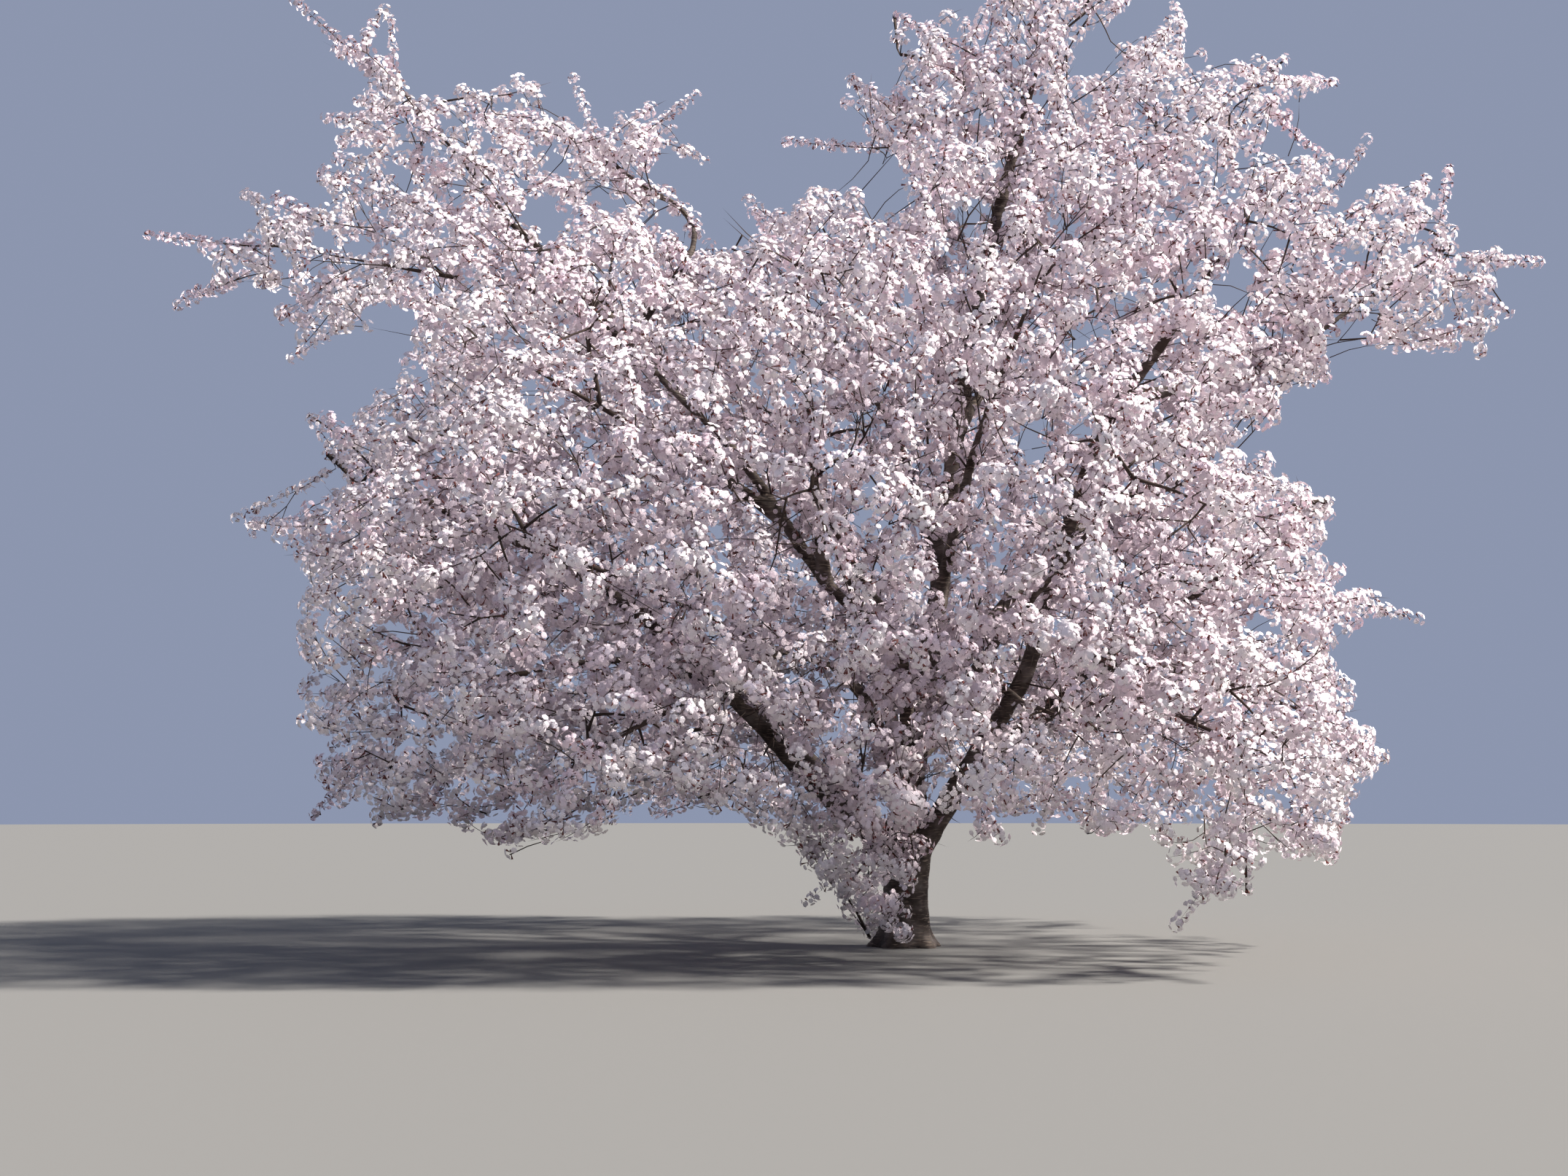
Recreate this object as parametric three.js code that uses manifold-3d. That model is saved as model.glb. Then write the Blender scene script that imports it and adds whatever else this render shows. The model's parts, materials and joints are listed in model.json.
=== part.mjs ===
// A mature cherry tree in full blossom, rooted in level ground.
// Millimetres, +Z up. The origin is the middle of the flat cut under the trunk, at ground level.
// The side that faces -Y is the front. The crown is about 15.5 m wide and 11 m tall, on a short trunk
// that forks at 1 m. Each bough is one tapering limb that ends where it enters its own mass of blossom.
import * as THREE from "three";
import { mergeVertices } from "three/addons/utils/BufferGeometryUtils.js";
import Module from "manifold-3d";

const wasm = await Module();
wasm.setup();

// Driving dimensions of the trunk
const TRUNK_TOP = 1080;
const TRUNK_RADIUS = 235;
const FORK_RADIUS = 265;
const ROOT_FLARE = 150;
const FLARE_HEIGHT = 330;
const ROOT_LOBES = 5;
const TRUNK_LEAN = [30, 0];
const TRUNK_SIDES = 15;
const TRUNK_RINGS = 8;

// Limbs
const GAP = 0.3;
const LIMB_SIDES = 6;
const LIMB_STEP = 950;
const TIP_SHARE = 0.4;
const LEAST_TIP_RADIUS = 27;
const ENTRY = 0.62;

// Masses of blossom
const STEM_SIDES = 4;
const TWIG_SIDES = 3;
const TWIG_NODE_STEP = 200;
const OUTLINE = 1.03;
const TIP_OUTLINE = 1.7;
const TIP_LENGTH = 1500;
const TIP_WIDTH = 0.3;
const LIMB_CLEARANCE = 25;
const CORE_SHARE = 0.5;
const CORE_LUMPS = 0.18;
const SHOOTS = 12;
const SHOOT_TRIES = 4;
const SPRAY_LENGTHS = [520, 1350];
const SPRAY_WIDTH = 0.5;
const SPRAY_WIDEST = 560;
const SPRAY_SUNK = 0.22;
const GOLDEN_ANGLE = Math.PI * (3 - Math.sqrt(5));

const BLOSSOM_COLOUR = 0xf1e3e6;
const BARK_COLOUR = 0x5a4a43;

// Each row is one bough and the mass of blossom that it carries.
// centre and reach: the middle and half-sizes of the mass.
// from, at: the limb it leaves, and how far along it.
// through: points that the bough passes. girth: its radius where it starts.
const CROWN = [
  {
    name: "crest", centre: [1600, 500, 9900], reach: [1900, 1600, 1250], from: "trunk", at: 0.8,
    through: [[150, 0, 2250], [430, 100, 4100], [680, 300, 6000], [1080, 450, 8000]], girth: 155,
    tips: [[-30, 600, 10570], [1400, 400, 11000], [2420, 600, 10980]],
  },
  {
    name: "east_upper", centre: [3150, -1600, 7050], reach: [2050, 1850, 1500], from: "trunk", at: 0.75,
    through: [[790, -250, 2080], [1270, -500, 2920], [2000, -1000, 5330]], girth: 140,
  },
  {
    name: "west_heart", centre: [-3650, 1100, 7650], reach: [2100, 1800, 1150], from: "crest", at: 0.1,
    through: [[-30, -260, 2950], [-950, -500, 4000], [-1700, -700, 5100], [-2700, -300, 6200]], girth: 130,
  },
  {
    name: "west_edge", centre: [-5700, -700, 5000], reach: [1700, 1900, 1350], from: "trunk", at: 0.8,
    through: [[-900, -200, 1650], [-1950, -500, 2750], [-3400, -900, 3900]], girth: 118,
    tips: [[-6410, -500, 5680], [-7100, -800, 4530]],
  },
  {
    name: "front_mid", centre: [-900, -4100, 4050], reach: [1750, 1600, 1550], from: "trunk", at: 0.72,
    through: [[-30, -900, 2000], [-150, -2000, 3100]], girth: 112,
  },
  {
    name: "back_mid", centre: [-800, 4400, 5800], reach: [2200, 1800, 1900], from: "trunk", at: 0.78,
    through: [[0, 900, 2000], [-300, 2500, 3600]], girth: 125,
  },
  {
    name: "back_west", centre: [-4500, 3200, 5000], reach: [2100, 2000, 1800], from: "trunk", at: 0.9,
    through: [[-900, 700, 1900], [-2300, 1800, 3300]], girth: 108,
  },
  {
    name: "back_east", centre: [4000, 3000, 5900], reach: [2300, 2000, 1750], from: "crest", at: 0.22,
    through: [[1500, 1300, 4100], [2500, 2100, 5000]], girth: 105,
  },
  {
    name: "crest_west", open: true, centre: [50, -500, 8600], reach: [1650, 1400, 950],
    from: "crest", at: 0.86,
    through: [], girth: 62,
    tips: [[-1300, 300, 8980], [-540, 500, 9790]],
  },
  {
    name: "crest_east", open: true, centre: [3250, -700, 8850], reach: [1650, 1500, 1100],
    from: "crest", at: 0.68,
    through: [[1900, 350, 7700]], girth: 66,
    tips: [[3120, 200, 10550], [4280, -200, 9760], [4960, 400, 9700], [4810, 600, 8940]],
  },
  {
    name: "crest_heart", centre: [1600, 3200, 7950], reach: [1800, 1700, 1400], from: "crest", at: 0.56,
    through: [[1100, 1000, 6500]], girth: 70,
  },
  {
    name: "saddle", centre: [-1300, 3000, 8100], reach: [1900, 1700, 1300], from: "crest", at: 0.4,
    through: [[-200, 1300, 6200]], girth: 80,
  },
  {
    name: "east_tip", open: true, centre: [5600, -400, 7350], reach: [1500, 1400, 1250],
    from: "east_upper", at: 0.85,
    through: [[3700, -700, 6100]], girth: 75,
    tips: [
      [5280, 200, 8990],
      [6060, -200, 8550],
      [7090, 0, 7500],
      [6440, -800, 6730],
      [6060, -1000, 6220],
      [4930, -1200, 6300],
    ],
  },
  {
    name: "front_upper", centre: [1100, -3000, 6450], reach: [1750, 1650, 1300], from: "crest", at: 0.34,
    through: [[700, -700, 5200]], girth: 78,
  },
  {
    name: "front_west_upper", centre: [-3800, -2400, 5800], reach: [2250, 1900, 1450],
    from: "west_heart", at: 0.5,
    through: [[-2300, -1300, 5100]], girth: 78,
  },
  {
    name: "front_heart", centre: [-1150, -3000, 6250], reach: [1650, 1700, 1350],
    from: "west_heart", at: 0.38,
    through: [[-1000, -1500, 4900]], girth: 72,
  },
  {
    name: "west_tier", open: true, centre: [-6000, -300, 7450], reach: [2150, 1600, 850],
    from: "west_heart", at: 0.86,
    through: [[-3900, -600, 7000]], girth: 66,
    tips: [[-8360, 0, 7810], [-7790, -800, 6810], [-6460, -1200, 6130], [-7480, 600, 8440]],
  },
  {
    name: "west_top", open: true, centre: [-5300, 400, 9200], reach: [2000, 1500, 1300],
    from: "west_heart", at: 0.93,
    through: [[-4200, -200, 7800]], girth: 62,
    tips: [[-6910, 400, 10680], [-6360, -300, 9050], [-5860, 800, 10650], [-5230, 400, 9470]],
  },
  {
    name: "west_inner", open: true, centre: [-3550, 1900, 9400], reach: [1600, 1500, 950],
    from: "west_heart", at: 0.9,
    through: [[-2300, 300, 7900]], girth: 56,
    tips: [[-3800, 1200, 10090], [-2310, 1000, 9780], [-2190, 500, 8820]],
  },
  {
    name: "front_west", centre: [-3400, -4000, 3800], reach: [1950, 1650, 1350], from: "crest", at: 0.09,
    through: [[-600, -500, 2850], [-1350, -950, 3100], [-2100, -2000, 3400]], girth: 92,
  },
  {
    name: "front_east", centre: [1700, -4000, 4250], reach: [1850, 1650, 1450],
    from: "front_mid", at: 0.3,
    through: [[700, -2200, 3000]], girth: 84,
  },
  {
    name: "east_mid", centre: [3850, -1300, 4300], reach: [1950, 1900, 1450],
    from: "east_upper", at: 0.16,
    through: [[1900, -500, 2900]], girth: 95,
    tips: [[4310, -1500, 4600], [5250, -1200, 3420]],
  },
  {
    name: "skirt_west", centre: [-4950, -1600, 2700], reach: [1650, 2000, 1550],
    from: "west_edge", at: 0.5,
    through: [[-2900, -1100, 3000]], girth: 70,
    tips: [[-5340, -1800, 1330], [-6170, -900, 1400]],
  },
  {
    name: "skirt_front_west", centre: [-2900, -3800, 2050], reach: [1550, 1500, 1100],
    from: "front_west", at: 0.5,
    through: [[-1900, -2300, 2700]], girth: 52,
    tips: [[-2810, -4200, 1420], [-3730, -4000, 1070]],
  },
  {
    name: "skirt_front", centre: [1350, -3700, 2250], reach: [1550, 1450, 1200],
    from: "front_east", at: 0.45,
    through: [[1000, -2400, 2500]], girth: 58,
  },
  {
    name: "skirt_east", centre: [3000, -3200, 2050], reach: [1500, 1600, 1600], from: "east_mid", at: 0.3,
    through: [[2200, -1600, 2600]], girth: 62,
    tips: [[3010, -3000, 690], [2230, -3600, 430]],
  },
  {
    name: "skirt_far_east", centre: [4450, -200, 2450], reach: [1350, 2100, 1450],
    from: "east_mid", at: 0.55,
    through: [[3200, -300, 2900]], girth: 60,
    tips: [[5110, -400, 1980], [4260, -1000, 920]],
  },
  {
    name: "back_low_west", centre: [-2900, 4300, 2400], reach: [1950, 1750, 1350],
    from: "back_west", at: 0.45,
    through: [[-1800, 2400, 2500]], girth: 66,
  },
  {
    name: "back_low_east", centre: [2600, 4200, 3000], reach: [2350, 2050, 1600],
    from: "back_mid", at: 0.3,
    through: [[1000, 2100, 2600]], girth: 78,
  },
  {
    name: "weeping_front", centre: [-560, -2300, 1500], reach: [1000, 1200, 1350],
    from: "trunk", at: 0.62,
    through: [], girth: 45, boughless: true,
    tips: [[-470, -2200, 230], [230, -2000, 300], [-1070, -2400, 590]],
  },
];

const UP = new THREE.Vector3(0, 0, 1);

// Repeatable random numbers from 0 to 1.
function seededRandom(seed) {
  let state = seed >>> 0;
  return () => {
    state = (state + 0x6d2b79f5) >>> 0;
    let mixed = state;
    mixed = Math.imul(mixed ^ (mixed >>> 15), mixed | 1);
    mixed ^= mixed + Math.imul(mixed ^ (mixed >>> 7), mixed | 61);
    return ((mixed ^ (mixed >>> 14)) >>> 0) / 4294967296;
  };
}

// A closed geometry as a solid.
function solid(geometry) {
  const bare = geometry.clone();
  bare.deleteAttribute("normal");
  bare.deleteAttribute("uv");
  const merged = mergeVertices(bare, 1e-2);
  return new wasm.Manifold(
    new wasm.Mesh({
      numProp: 3,
      vertProperties: new Float32Array(merged.attributes.position.array),
      triVerts: new Uint32Array(merged.index.array),
    }),
  );
}

function geometryOf(body) {
  const mesh = body.getMesh();
  const geometry = new THREE.BufferGeometry();
  geometry.setAttribute("position", new THREE.BufferAttribute(mesh.vertProperties, 3));
  geometry.setIndex(new THREE.BufferAttribute(mesh.triVerts, 1));
  return geometry;
}

// The largest body of a solid, so that scraps and sealed hollows are left out.
function mainBody(body) {
  return body.decompose().reduce((most, one) => (one.volume() > most.volume() ? one : most));
}

// A round bar whose rings follow place(t, angle), from t = 0 to 1, closed at both ends.
function bar(sides, rings, place) {
  const geometry = new THREE.CylinderGeometry(1, 1, 1, sides, rings);
  const at = geometry.attributes.position;
  for (let i = 0; i < at.count; i++) {
    const share = at.getY(i) + 0.5;
    const out = Math.hypot(at.getX(i), at.getZ(i));
    const point = place(share, Math.atan2(at.getX(i), at.getZ(i)), out);
    at.setXYZ(i, point.x, point.y, point.z);
  }
  return geometry;
}

// Two directions square to each other and to a limb's own direction. Limbs never run straight along X.
function sideways(direction) {
  const across = new THREE.Vector3(1, 0, 0).cross(direction).normalize();
  return [across, new THREE.Vector3().crossVectors(direction, across)];
}

// A bar along a curve, its radius given by width(t), longer at its tip by extra.
function limb(curve, width, sides, rings, extra = 0) {
  return bar(sides, rings, (share, angle, out) => {
    const direction = curve.getTangent(share);
    const [across, over] = sideways(direction);
    const radius = width(share) * out;
    return curve
      .getPoint(share)
      .addScaledVector(direction, share === 1 ? extra : 0)
      .addScaledVector(across, radius * Math.cos(angle))
      .addScaledVector(over, radius * Math.sin(angle));
  });
}

// The trunk's middle line, and its radius at a height and bearing with the flare of its roots
function trunkMiddle(share) {
  const bend = share * share;
  return new THREE.Vector3(TRUNK_LEAN[0] * bend, TRUNK_LEAN[1] * bend, TRUNK_TOP * share);
}

function trunkRadius(share, angle) {
  const height = share * TRUNK_TOP;
  const flare = ROOT_FLARE * Math.exp(-height / (FLARE_HEIGHT * 0.5));
  const lobes = 1 + 0.5 * Math.cos(ROOT_LOBES * angle + 0.6);
  const fork = (FORK_RADIUS - TRUNK_RADIUS) * Math.pow(share, 3);
  return TRUNK_RADIUS + flare * lobes + fork * (1 + 0.3 * Math.cos(3 * angle));
}

function trunkBar(extra) {
  return bar(TRUNK_SIDES, TRUNK_RINGS, (share, angle, out) => {
    const middle = trunkMiddle(share);
    const radius = (trunkRadius(share, angle) + extra) * out;
    const lifted = share === 1 ? extra : 0;
    return middle.add(new THREE.Vector3(radius * Math.cos(angle), radius * Math.sin(angle), lifted));
  });
}

// How far a point is from a mass's middle: 1 on the mass's own outline.
function reachShare(mass, point) {
  return Math.hypot(
    (point.x - mass.centre[0]) / mass.reach[0],
    (point.y - mass.centre[1]) / mass.reach[1],
    (point.z - mass.centre[2]) / mass.reach[2],
  );
}

// A mass keeps the space inside its outline that is nearer to it, by share of reach, than to any other.
// Only its tips go past the outline, as far as limit tells.
function inSpace(mass, point, margin, limit = OUTLINE) {
  const own = reachShare(mass, point) + margin;
  return own < limit && CROWN.every((other) => other === mass || reachShare(other, point) > own);
}

const limbs = new Map();
const limbPoints = [];

function startOf(row) {
  if (row.from === "trunk") return trunkMiddle(row.at);
  return limbs.get(row.from).curve.getPoint(row.at);
}

// The curve of a bough, from the middle of the limb that it leaves to where it enters its mass
function boughCurve(row) {
  const start = startOf(row);
  const points = [start, ...row.through.map((p) => new THREE.Vector3(...p))];
  const centre = new THREE.Vector3(...row.centre);
  const last = points[points.length - 1];
  const share = reachShare(row, last);
  points.push(centre.clone().lerp(last, ENTRY / share));
  return new THREE.CatmullRomCurve3(points, false, "centripetal");
}

function boughWidth(row) {
  const tip = Math.max(LEAST_TIP_RADIUS, row.girth * TIP_SHARE);
  return (share) => row.girth + (tip - row.girth) * Math.pow(share, 0.8);
}

function makeBough(row) {
  const curve = boughCurve(row);
  const width = boughWidth(row);
  const length = curve.getLength();
  const rings = Math.max(3, Math.round(length / LIMB_STEP));
  limbs.set(row.name, { curve, width, length, rings });
  const samples = Math.ceil(length / 60);
  for (let i = 0; i <= samples; i++) {
    limbPoints.push({ at: curve.getPoint(i / samples), radius: width(i / samples), name: row.name });
  }
}

function limbSolid(name, extra) {
  const { curve, width, rings } = limbs.get(name);
  return solid(limb(curve, (share) => width(share) + extra, LIMB_SIDES, rings, extra));
}

// The stem of a mass goes on from its bough's tip, through the middle and towards the far side.
function stemCurve(row) {
  let start;
  let direction;
  const centre = new THREE.Vector3(...row.centre);
  if (row.boughless) {
    start = trunkMiddle(row.at);
    direction = centre.clone().sub(start).normalize();
  } else {
    const { curve } = limbs.get(row.name);
    direction = curve.getTangent(1);
    start = curve.getPoint(1).addScaledVector(direction, GAP * 1.4);
  }
  const along = centre.clone().sub(start);
  const end = start.clone().addScaledVector(along, 1.5);
  const bend = start.clone().addScaledVector(direction, along.length() * 0.6);
  return new THREE.QuadraticBezierCurve3(start, bend, end);
}

function clearOfLimbs(point, radius) {
  return limbPoints.every((one) => one.at.distanceTo(point) > one.radius + radius + LIMB_CLEARANCE);
}

// The last point of the mass's own space on a line from its middle
function outlinePoint(row, direction) {
  const centre = new THREE.Vector3(...row.centre);
  let inner = 0;
  let outer = 1;
  for (let step = 0; step < 12; step++) {
    const middle = (inner + outer) / 2;
    if (inSpace(row, centre.clone().addScaledVector(direction, middle), 0.03)) inner = middle;
    else outer = middle;
  }
  return centre.addScaledVector(direction, inner);
}

// Directions spread evenly round a mass, each a little off its place and scaled by the mass's reach
function shootDirection(row, index, turn, random) {
  const height = 1 - (2 * index + 1) / SHOOTS;
  const bearing = index * GOLDEN_ANGLE + turn;
  const flat = Math.sqrt(1 - height * height);
  return new THREE.Vector3(
    (flat * Math.cos(bearing) + 0.3 * (random() - 0.5)) * row.reach[0],
    (flat * Math.sin(bearing) + 0.3 * (random() - 0.5)) * row.reach[1],
    (height + 0.3 * (random() - 0.5)) * row.reach[2],
  );
}

// A new twig leaves the stem, or a twig already there, where it has the least way and turn to its goal.
function bestPlace(places, goal) {
  let best = null;
  let least = Infinity;
  for (const place of places) {
    const way = goal.clone().sub(place.at);
    const distance = way.length();
    const turn = 1 - way.dot(place.direction) / Math.max(distance, 1);
    const cost = distance * (1 + 0.45 * turn);
    if (cost < least) [least, best] = [cost, place];
  }
  return best;
}

function addPlaces(places, curve, width) {
  const count = Math.max(2, Math.round(curve.getLength() / TWIG_NODE_STEP));
  for (let i = 1; i <= count; i++) {
    const share = i / count;
    places.push({ at: curve.getPoint(share), direction: curve.getTangent(share), radius: width(share) });
  }
}

// A spray of blossom: eight faces round a line from its root to its tip, widest past the middle
function sprayAt(root, direction, length, width) {
  const half = width / 2;
  const geometry = new THREE.OctahedronGeometry(1, 0);
  const [across, over] = sideways(direction);
  const at = geometry.attributes.position;
  for (let i = 0; i < at.count; i++) {
    const along = at.getY(i) > 0.5 ? length : at.getY(i) < -0.5 ? 0 : length * 0.55;
    const point = root
      .clone()
      .addScaledVector(direction, along)
      .addScaledVector(across, at.getX(i) * half)
      .addScaledVector(over, -at.getZ(i) * half * 0.8);
    at.setXYZ(i, point.x, point.y, point.z);
  }
  return geometry;
}

function sprayFits(row, geometry, limit) {
  const at = geometry.attributes.position;
  const point = new THREE.Vector3();
  for (let i = 0; i < at.count; i += 3) {
    const face = [0, 1, 2].map((k) => new THREE.Vector3().fromBufferAttribute(at, i + k));
    for (let k = 0; k < 3; k++) {
      for (const share of [0, 0.25, 0.5, 0.75]) {
        point.lerpVectors(face[k], face[(k + 1) % 3], share);
        if (!inSpace(row, point, 0.012, limit) || !clearOfLimbs(point, 0)) return false;
      }
    }
  }
  return true;
}

// A shoot is a spray that ends at its goal, on a twig where its root isn't in the core.
function shootTo(row, goal, length, width, places, limit) {
  const centre = new THREE.Vector3(...row.centre);
  const place = bestPlace(places, goal);
  const outward = goal.clone().sub(centre).normalize();
  const along = goal.clone().sub(place.at).normalize().add(outward).normalize();
  const root = goal.clone().addScaledVector(along, -length);
  const spray = sprayAt(root, along, length, width);
  if (!sprayFits(row, spray, limit)) return null;
  if (!row.open && reachShare(row, root) < CORE_SHARE * 0.8) return [spray];
  const end = root.clone().addScaledVector(along, length * SPRAY_SUNK);
  const bend = place.at.clone().lerp(end, 0.5).addScaledVector(UP, place.at.distanceTo(end) * 0.06);
  const curve = new THREE.QuadraticBezierCurve3(place.at, bend, end);
  const thick = Math.min(place.radius * 0.75, 14 + curve.getLength() * 0.014);
  const twigWidth = (share) => thick * (1 - 0.45 * share);
  const checks = [0.25, 0.5, 0.75].map((share) => curve.getPoint(share));
  if (!checks.every((point) => inSpace(row, point, 0.05, limit))) return null;
  if (!checks.slice(1).every((point) => clearOfLimbs(point, thick))) return null;
  addPlaces(places, curve, twigWidth);
  return [spray, limb(curve, twigWidth, TWIG_SIDES, 1)];
}

// The shoots that reach a mass's furthest tips, then those that stand evenly round it
function growShoots(row, places, random) {
  const centre = new THREE.Vector3(...row.centre);
  const pieces = [];
  for (const tip of row.tips ?? []) {
    for (const share of [1, 0.8, 0.6, 0.45]) {
      const length = TIP_LENGTH * share;
      const goal = new THREE.Vector3(...tip);
      const shoot = shootTo(row, goal, length, length * TIP_WIDTH, places, TIP_OUTLINE);
      if (shoot) {
        pieces.push(...shoot);
        break;
      }
    }
  }
  const turn = random() * Math.PI * 2;
  for (let k = 0; k < SHOOTS; k++) {
    for (let tries = 0; tries < SHOOT_TRIES; tries++) {
      const direction = shootDirection(row, k, turn, random);
      const goal = outlinePoint(row, direction).lerp(centre, 0.04 + 0.03 * tries);
      const length = Math.min(SPRAY_LENGTHS[1], goal.distanceTo(centre) * (0.72 - 0.06 * tries));
      if (length < SPRAY_LENGTHS[0]) continue;
      const width = Math.min(SPRAY_WIDTH * length, SPRAY_WIDEST);
      const shoot = shootTo(row, goal, length, width, places, OUTLINE);
      if (shoot) {
        pieces.push(...shoot);
        break;
      }
    }
  }
  return pieces;
}

// The close inner part of a mass, a smaller copy of its space with a lumpy face
function coreOf(row, random) {
  const ball = new THREE.BufferGeometry();
  ball.setAttribute("position", new THREE.IcosahedronGeometry(1, 1).attributes.position);
  const merged = mergeVertices(ball, 1e-3);
  const at = merged.attributes.position;
  const centre = new THREE.Vector3(...row.centre);
  const reach = new THREE.Vector3(...row.reach);
  for (let i = 0; i < at.count; i++) {
    const ray = new THREE.Vector3().fromBufferAttribute(at, i).multiply(reach);
    const share = CORE_SHARE + CORE_LUMPS * (random() - 0.5);
    const point = outlinePoint(row, ray).lerp(centre, 1 - share);
    at.setXYZ(i, point.x, point.y, point.z);
  }
  return merged;
}

const bark = new THREE.MeshStandardMaterial({ color: BARK_COLOUR, roughness: 0.85, metalness: 0 });
const petals = new THREE.MeshStandardMaterial({ color: BLOSSOM_COLOUR, roughness: 0.7, metalness: 0 });
const tree = new THREE.Group();

function addNode(name, body, material) {
  const mesh = new THREE.Mesh(geometryOf(body), material);
  mesh.name = name;
  tree.add(mesh);
}

const trunk = solid(trunkBar(0));
addNode("trunk", trunk, bark);
for (const row of CROWN) if (!row.boughless) makeBough(row);

// Each bough is cut clear of the trunk and of the boughs made before it.
const grown = [{ name: "trunk", body: solid(trunkBar(GAP)) }];
const wide = new Map();
for (const name of limbs.keys()) wide.set(name, limbSolid(name, GAP));

function meets(a, b) {
  const [one, two] = [a.boundingBox(), b.boundingBox()];
  return [0, 1, 2].every((i) => one.min[i] < two.max[i] && two.min[i] < one.max[i]);
}

for (const name of limbs.keys()) {
  let body = limbSolid(name, 0);
  for (const other of grown) if (meets(body, other.body)) body = body.subtract(other.body);
  addNode("bough_" + name, mainBody(body), bark);
  grown.push({ name, body: wide.get(name) });
}

// Each mass is its stem, twigs and sprays, fused round its core where it has one.
// It is cut clear of all limbs.
CROWN.forEach((row, index) => {
  const random = seededRandom(1000 + index);
  const stem = stemCurve(row);
  const tip = row.boughless ? row.girth : limbs.get(row.name).width(1);
  const stemWidth = (share) => tip * (1 - 0.6 * share);
  const parts = [solid(limb(stem, stemWidth, STEM_SIDES, 2))];
  if (!row.open) parts.push(solid(coreOf(row, random)));
  const places = [];
  addPlaces(places, stem, stemWidth);
  for (const piece of growShoots(row, places, random)) parts.push(solid(piece));
  let body = wasm.Manifold.union(parts);
  for (const one of grown) if (meets(body, one.body)) body = body.subtract(one.body);
  addNode("blossom_" + row.name, mainBody(body), petals);
});

export default tree;
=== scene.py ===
# A mature cherry tree in full blossom, dressed over its solids.
# Metres, +Z up, the origin in the middle of the flat cut under the trunk. The front faces -Y.
import json
import math
from collections import defaultdict
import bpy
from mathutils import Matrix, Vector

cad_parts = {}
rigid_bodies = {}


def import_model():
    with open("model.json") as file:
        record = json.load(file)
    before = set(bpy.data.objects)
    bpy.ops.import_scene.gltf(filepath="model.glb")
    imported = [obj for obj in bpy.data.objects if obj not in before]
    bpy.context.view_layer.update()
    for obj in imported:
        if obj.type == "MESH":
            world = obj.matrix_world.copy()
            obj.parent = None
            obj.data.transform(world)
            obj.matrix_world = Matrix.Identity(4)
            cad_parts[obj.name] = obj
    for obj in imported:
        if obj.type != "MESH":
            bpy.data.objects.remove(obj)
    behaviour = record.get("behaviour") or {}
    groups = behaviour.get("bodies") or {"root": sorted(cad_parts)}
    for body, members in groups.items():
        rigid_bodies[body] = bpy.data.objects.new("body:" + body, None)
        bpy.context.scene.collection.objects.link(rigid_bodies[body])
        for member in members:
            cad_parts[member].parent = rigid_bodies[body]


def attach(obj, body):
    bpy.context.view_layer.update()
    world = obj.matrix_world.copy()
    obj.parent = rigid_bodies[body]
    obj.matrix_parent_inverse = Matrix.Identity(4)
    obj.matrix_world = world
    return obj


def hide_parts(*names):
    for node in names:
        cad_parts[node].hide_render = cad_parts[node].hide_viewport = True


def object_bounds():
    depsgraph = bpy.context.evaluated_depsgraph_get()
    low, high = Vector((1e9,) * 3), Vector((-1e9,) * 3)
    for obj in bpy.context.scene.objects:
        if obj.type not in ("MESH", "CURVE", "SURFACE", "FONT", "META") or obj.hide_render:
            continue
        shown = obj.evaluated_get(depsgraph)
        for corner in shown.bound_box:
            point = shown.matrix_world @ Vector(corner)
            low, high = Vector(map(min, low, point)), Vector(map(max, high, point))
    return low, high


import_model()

from types import SimpleNamespace

import bpy
import numpy as np
from mathutils import Vector
from numpy.linalg import norm

SOLID_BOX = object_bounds()

# Trunk and limbs, as in the part's source
TRUNK_TOP = 1.08
TRUNK_RADIUS = 0.235
FORK_RADIUS = 0.265
ROOT_FLARE = 0.15
FLARE_HEIGHT = 0.33
ROOT_LOBES = 5
TRUNK_LEAN = 0.03
TIP_SHARE = 0.4
LEAST_TIP_RADIUS = 0.027
ENTRY = 0.62

# Spaces and shoots of the masses, as in the part's source
TWIG_NODE_STEP = 0.2
OUTLINE = 1.03
TIP_OUTLINE = 1.7
TIP_LENGTH = 1.5
TIP_WIDTH = 0.3
LIMB_CLEARANCE = 0.025
LIMB_SPOT_STEP = 0.06
OUTLINE_STEPS = 200
CORE_DRAWS = 42
SHOOTS = 12
SHOOT_TRIES = 4
SPRAY_LENGTHS = (0.52, 1.35)
SPRAY_WIDTH = 0.5
SPRAY_WIDEST = 0.56
SPRAY_BELLY = 0.55
SPRAY_DEPTH = 0.4
SPRAY_SUNK = 0.22
GOLDEN_ANGLE = math.pi * (3 - math.sqrt(5))

# Fine twigs: metres in all, their lengths, and how far from a place they still start
TWIG_METRES = 3500
TWIG_LENGTHS = (0.3, 1.05)
TWIG_FAR = 1.35
OPEN_LONGER = 1.45
LATE_TWIGS = 0.25
TWIG_TRIES = 4000
GOAL_CHOICES = 12
GOAL_REACHED = 0.12
LOWEST_TWIG = 0.3
MOST_PLACES = 6000
TIP_PLACES = 120

# What a place costs a twig, beside its distance: turning, growing inwards, and starting too near
TURNING = 0.45
OUTWARD = 0.7
TOO_NEAR = 10.0
FORK_HEIGHT = 1.3
LEVELLING = 0.5

# Thickness of the twigs: bare, more by the root of the metres that they carry, and at their tips
TWIG_RADIUS = 0.0032
TWIG_THICKENING = 0.0034
TWIG_TAPER = 0.4
TWIG_TIP = 0.004

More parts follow.
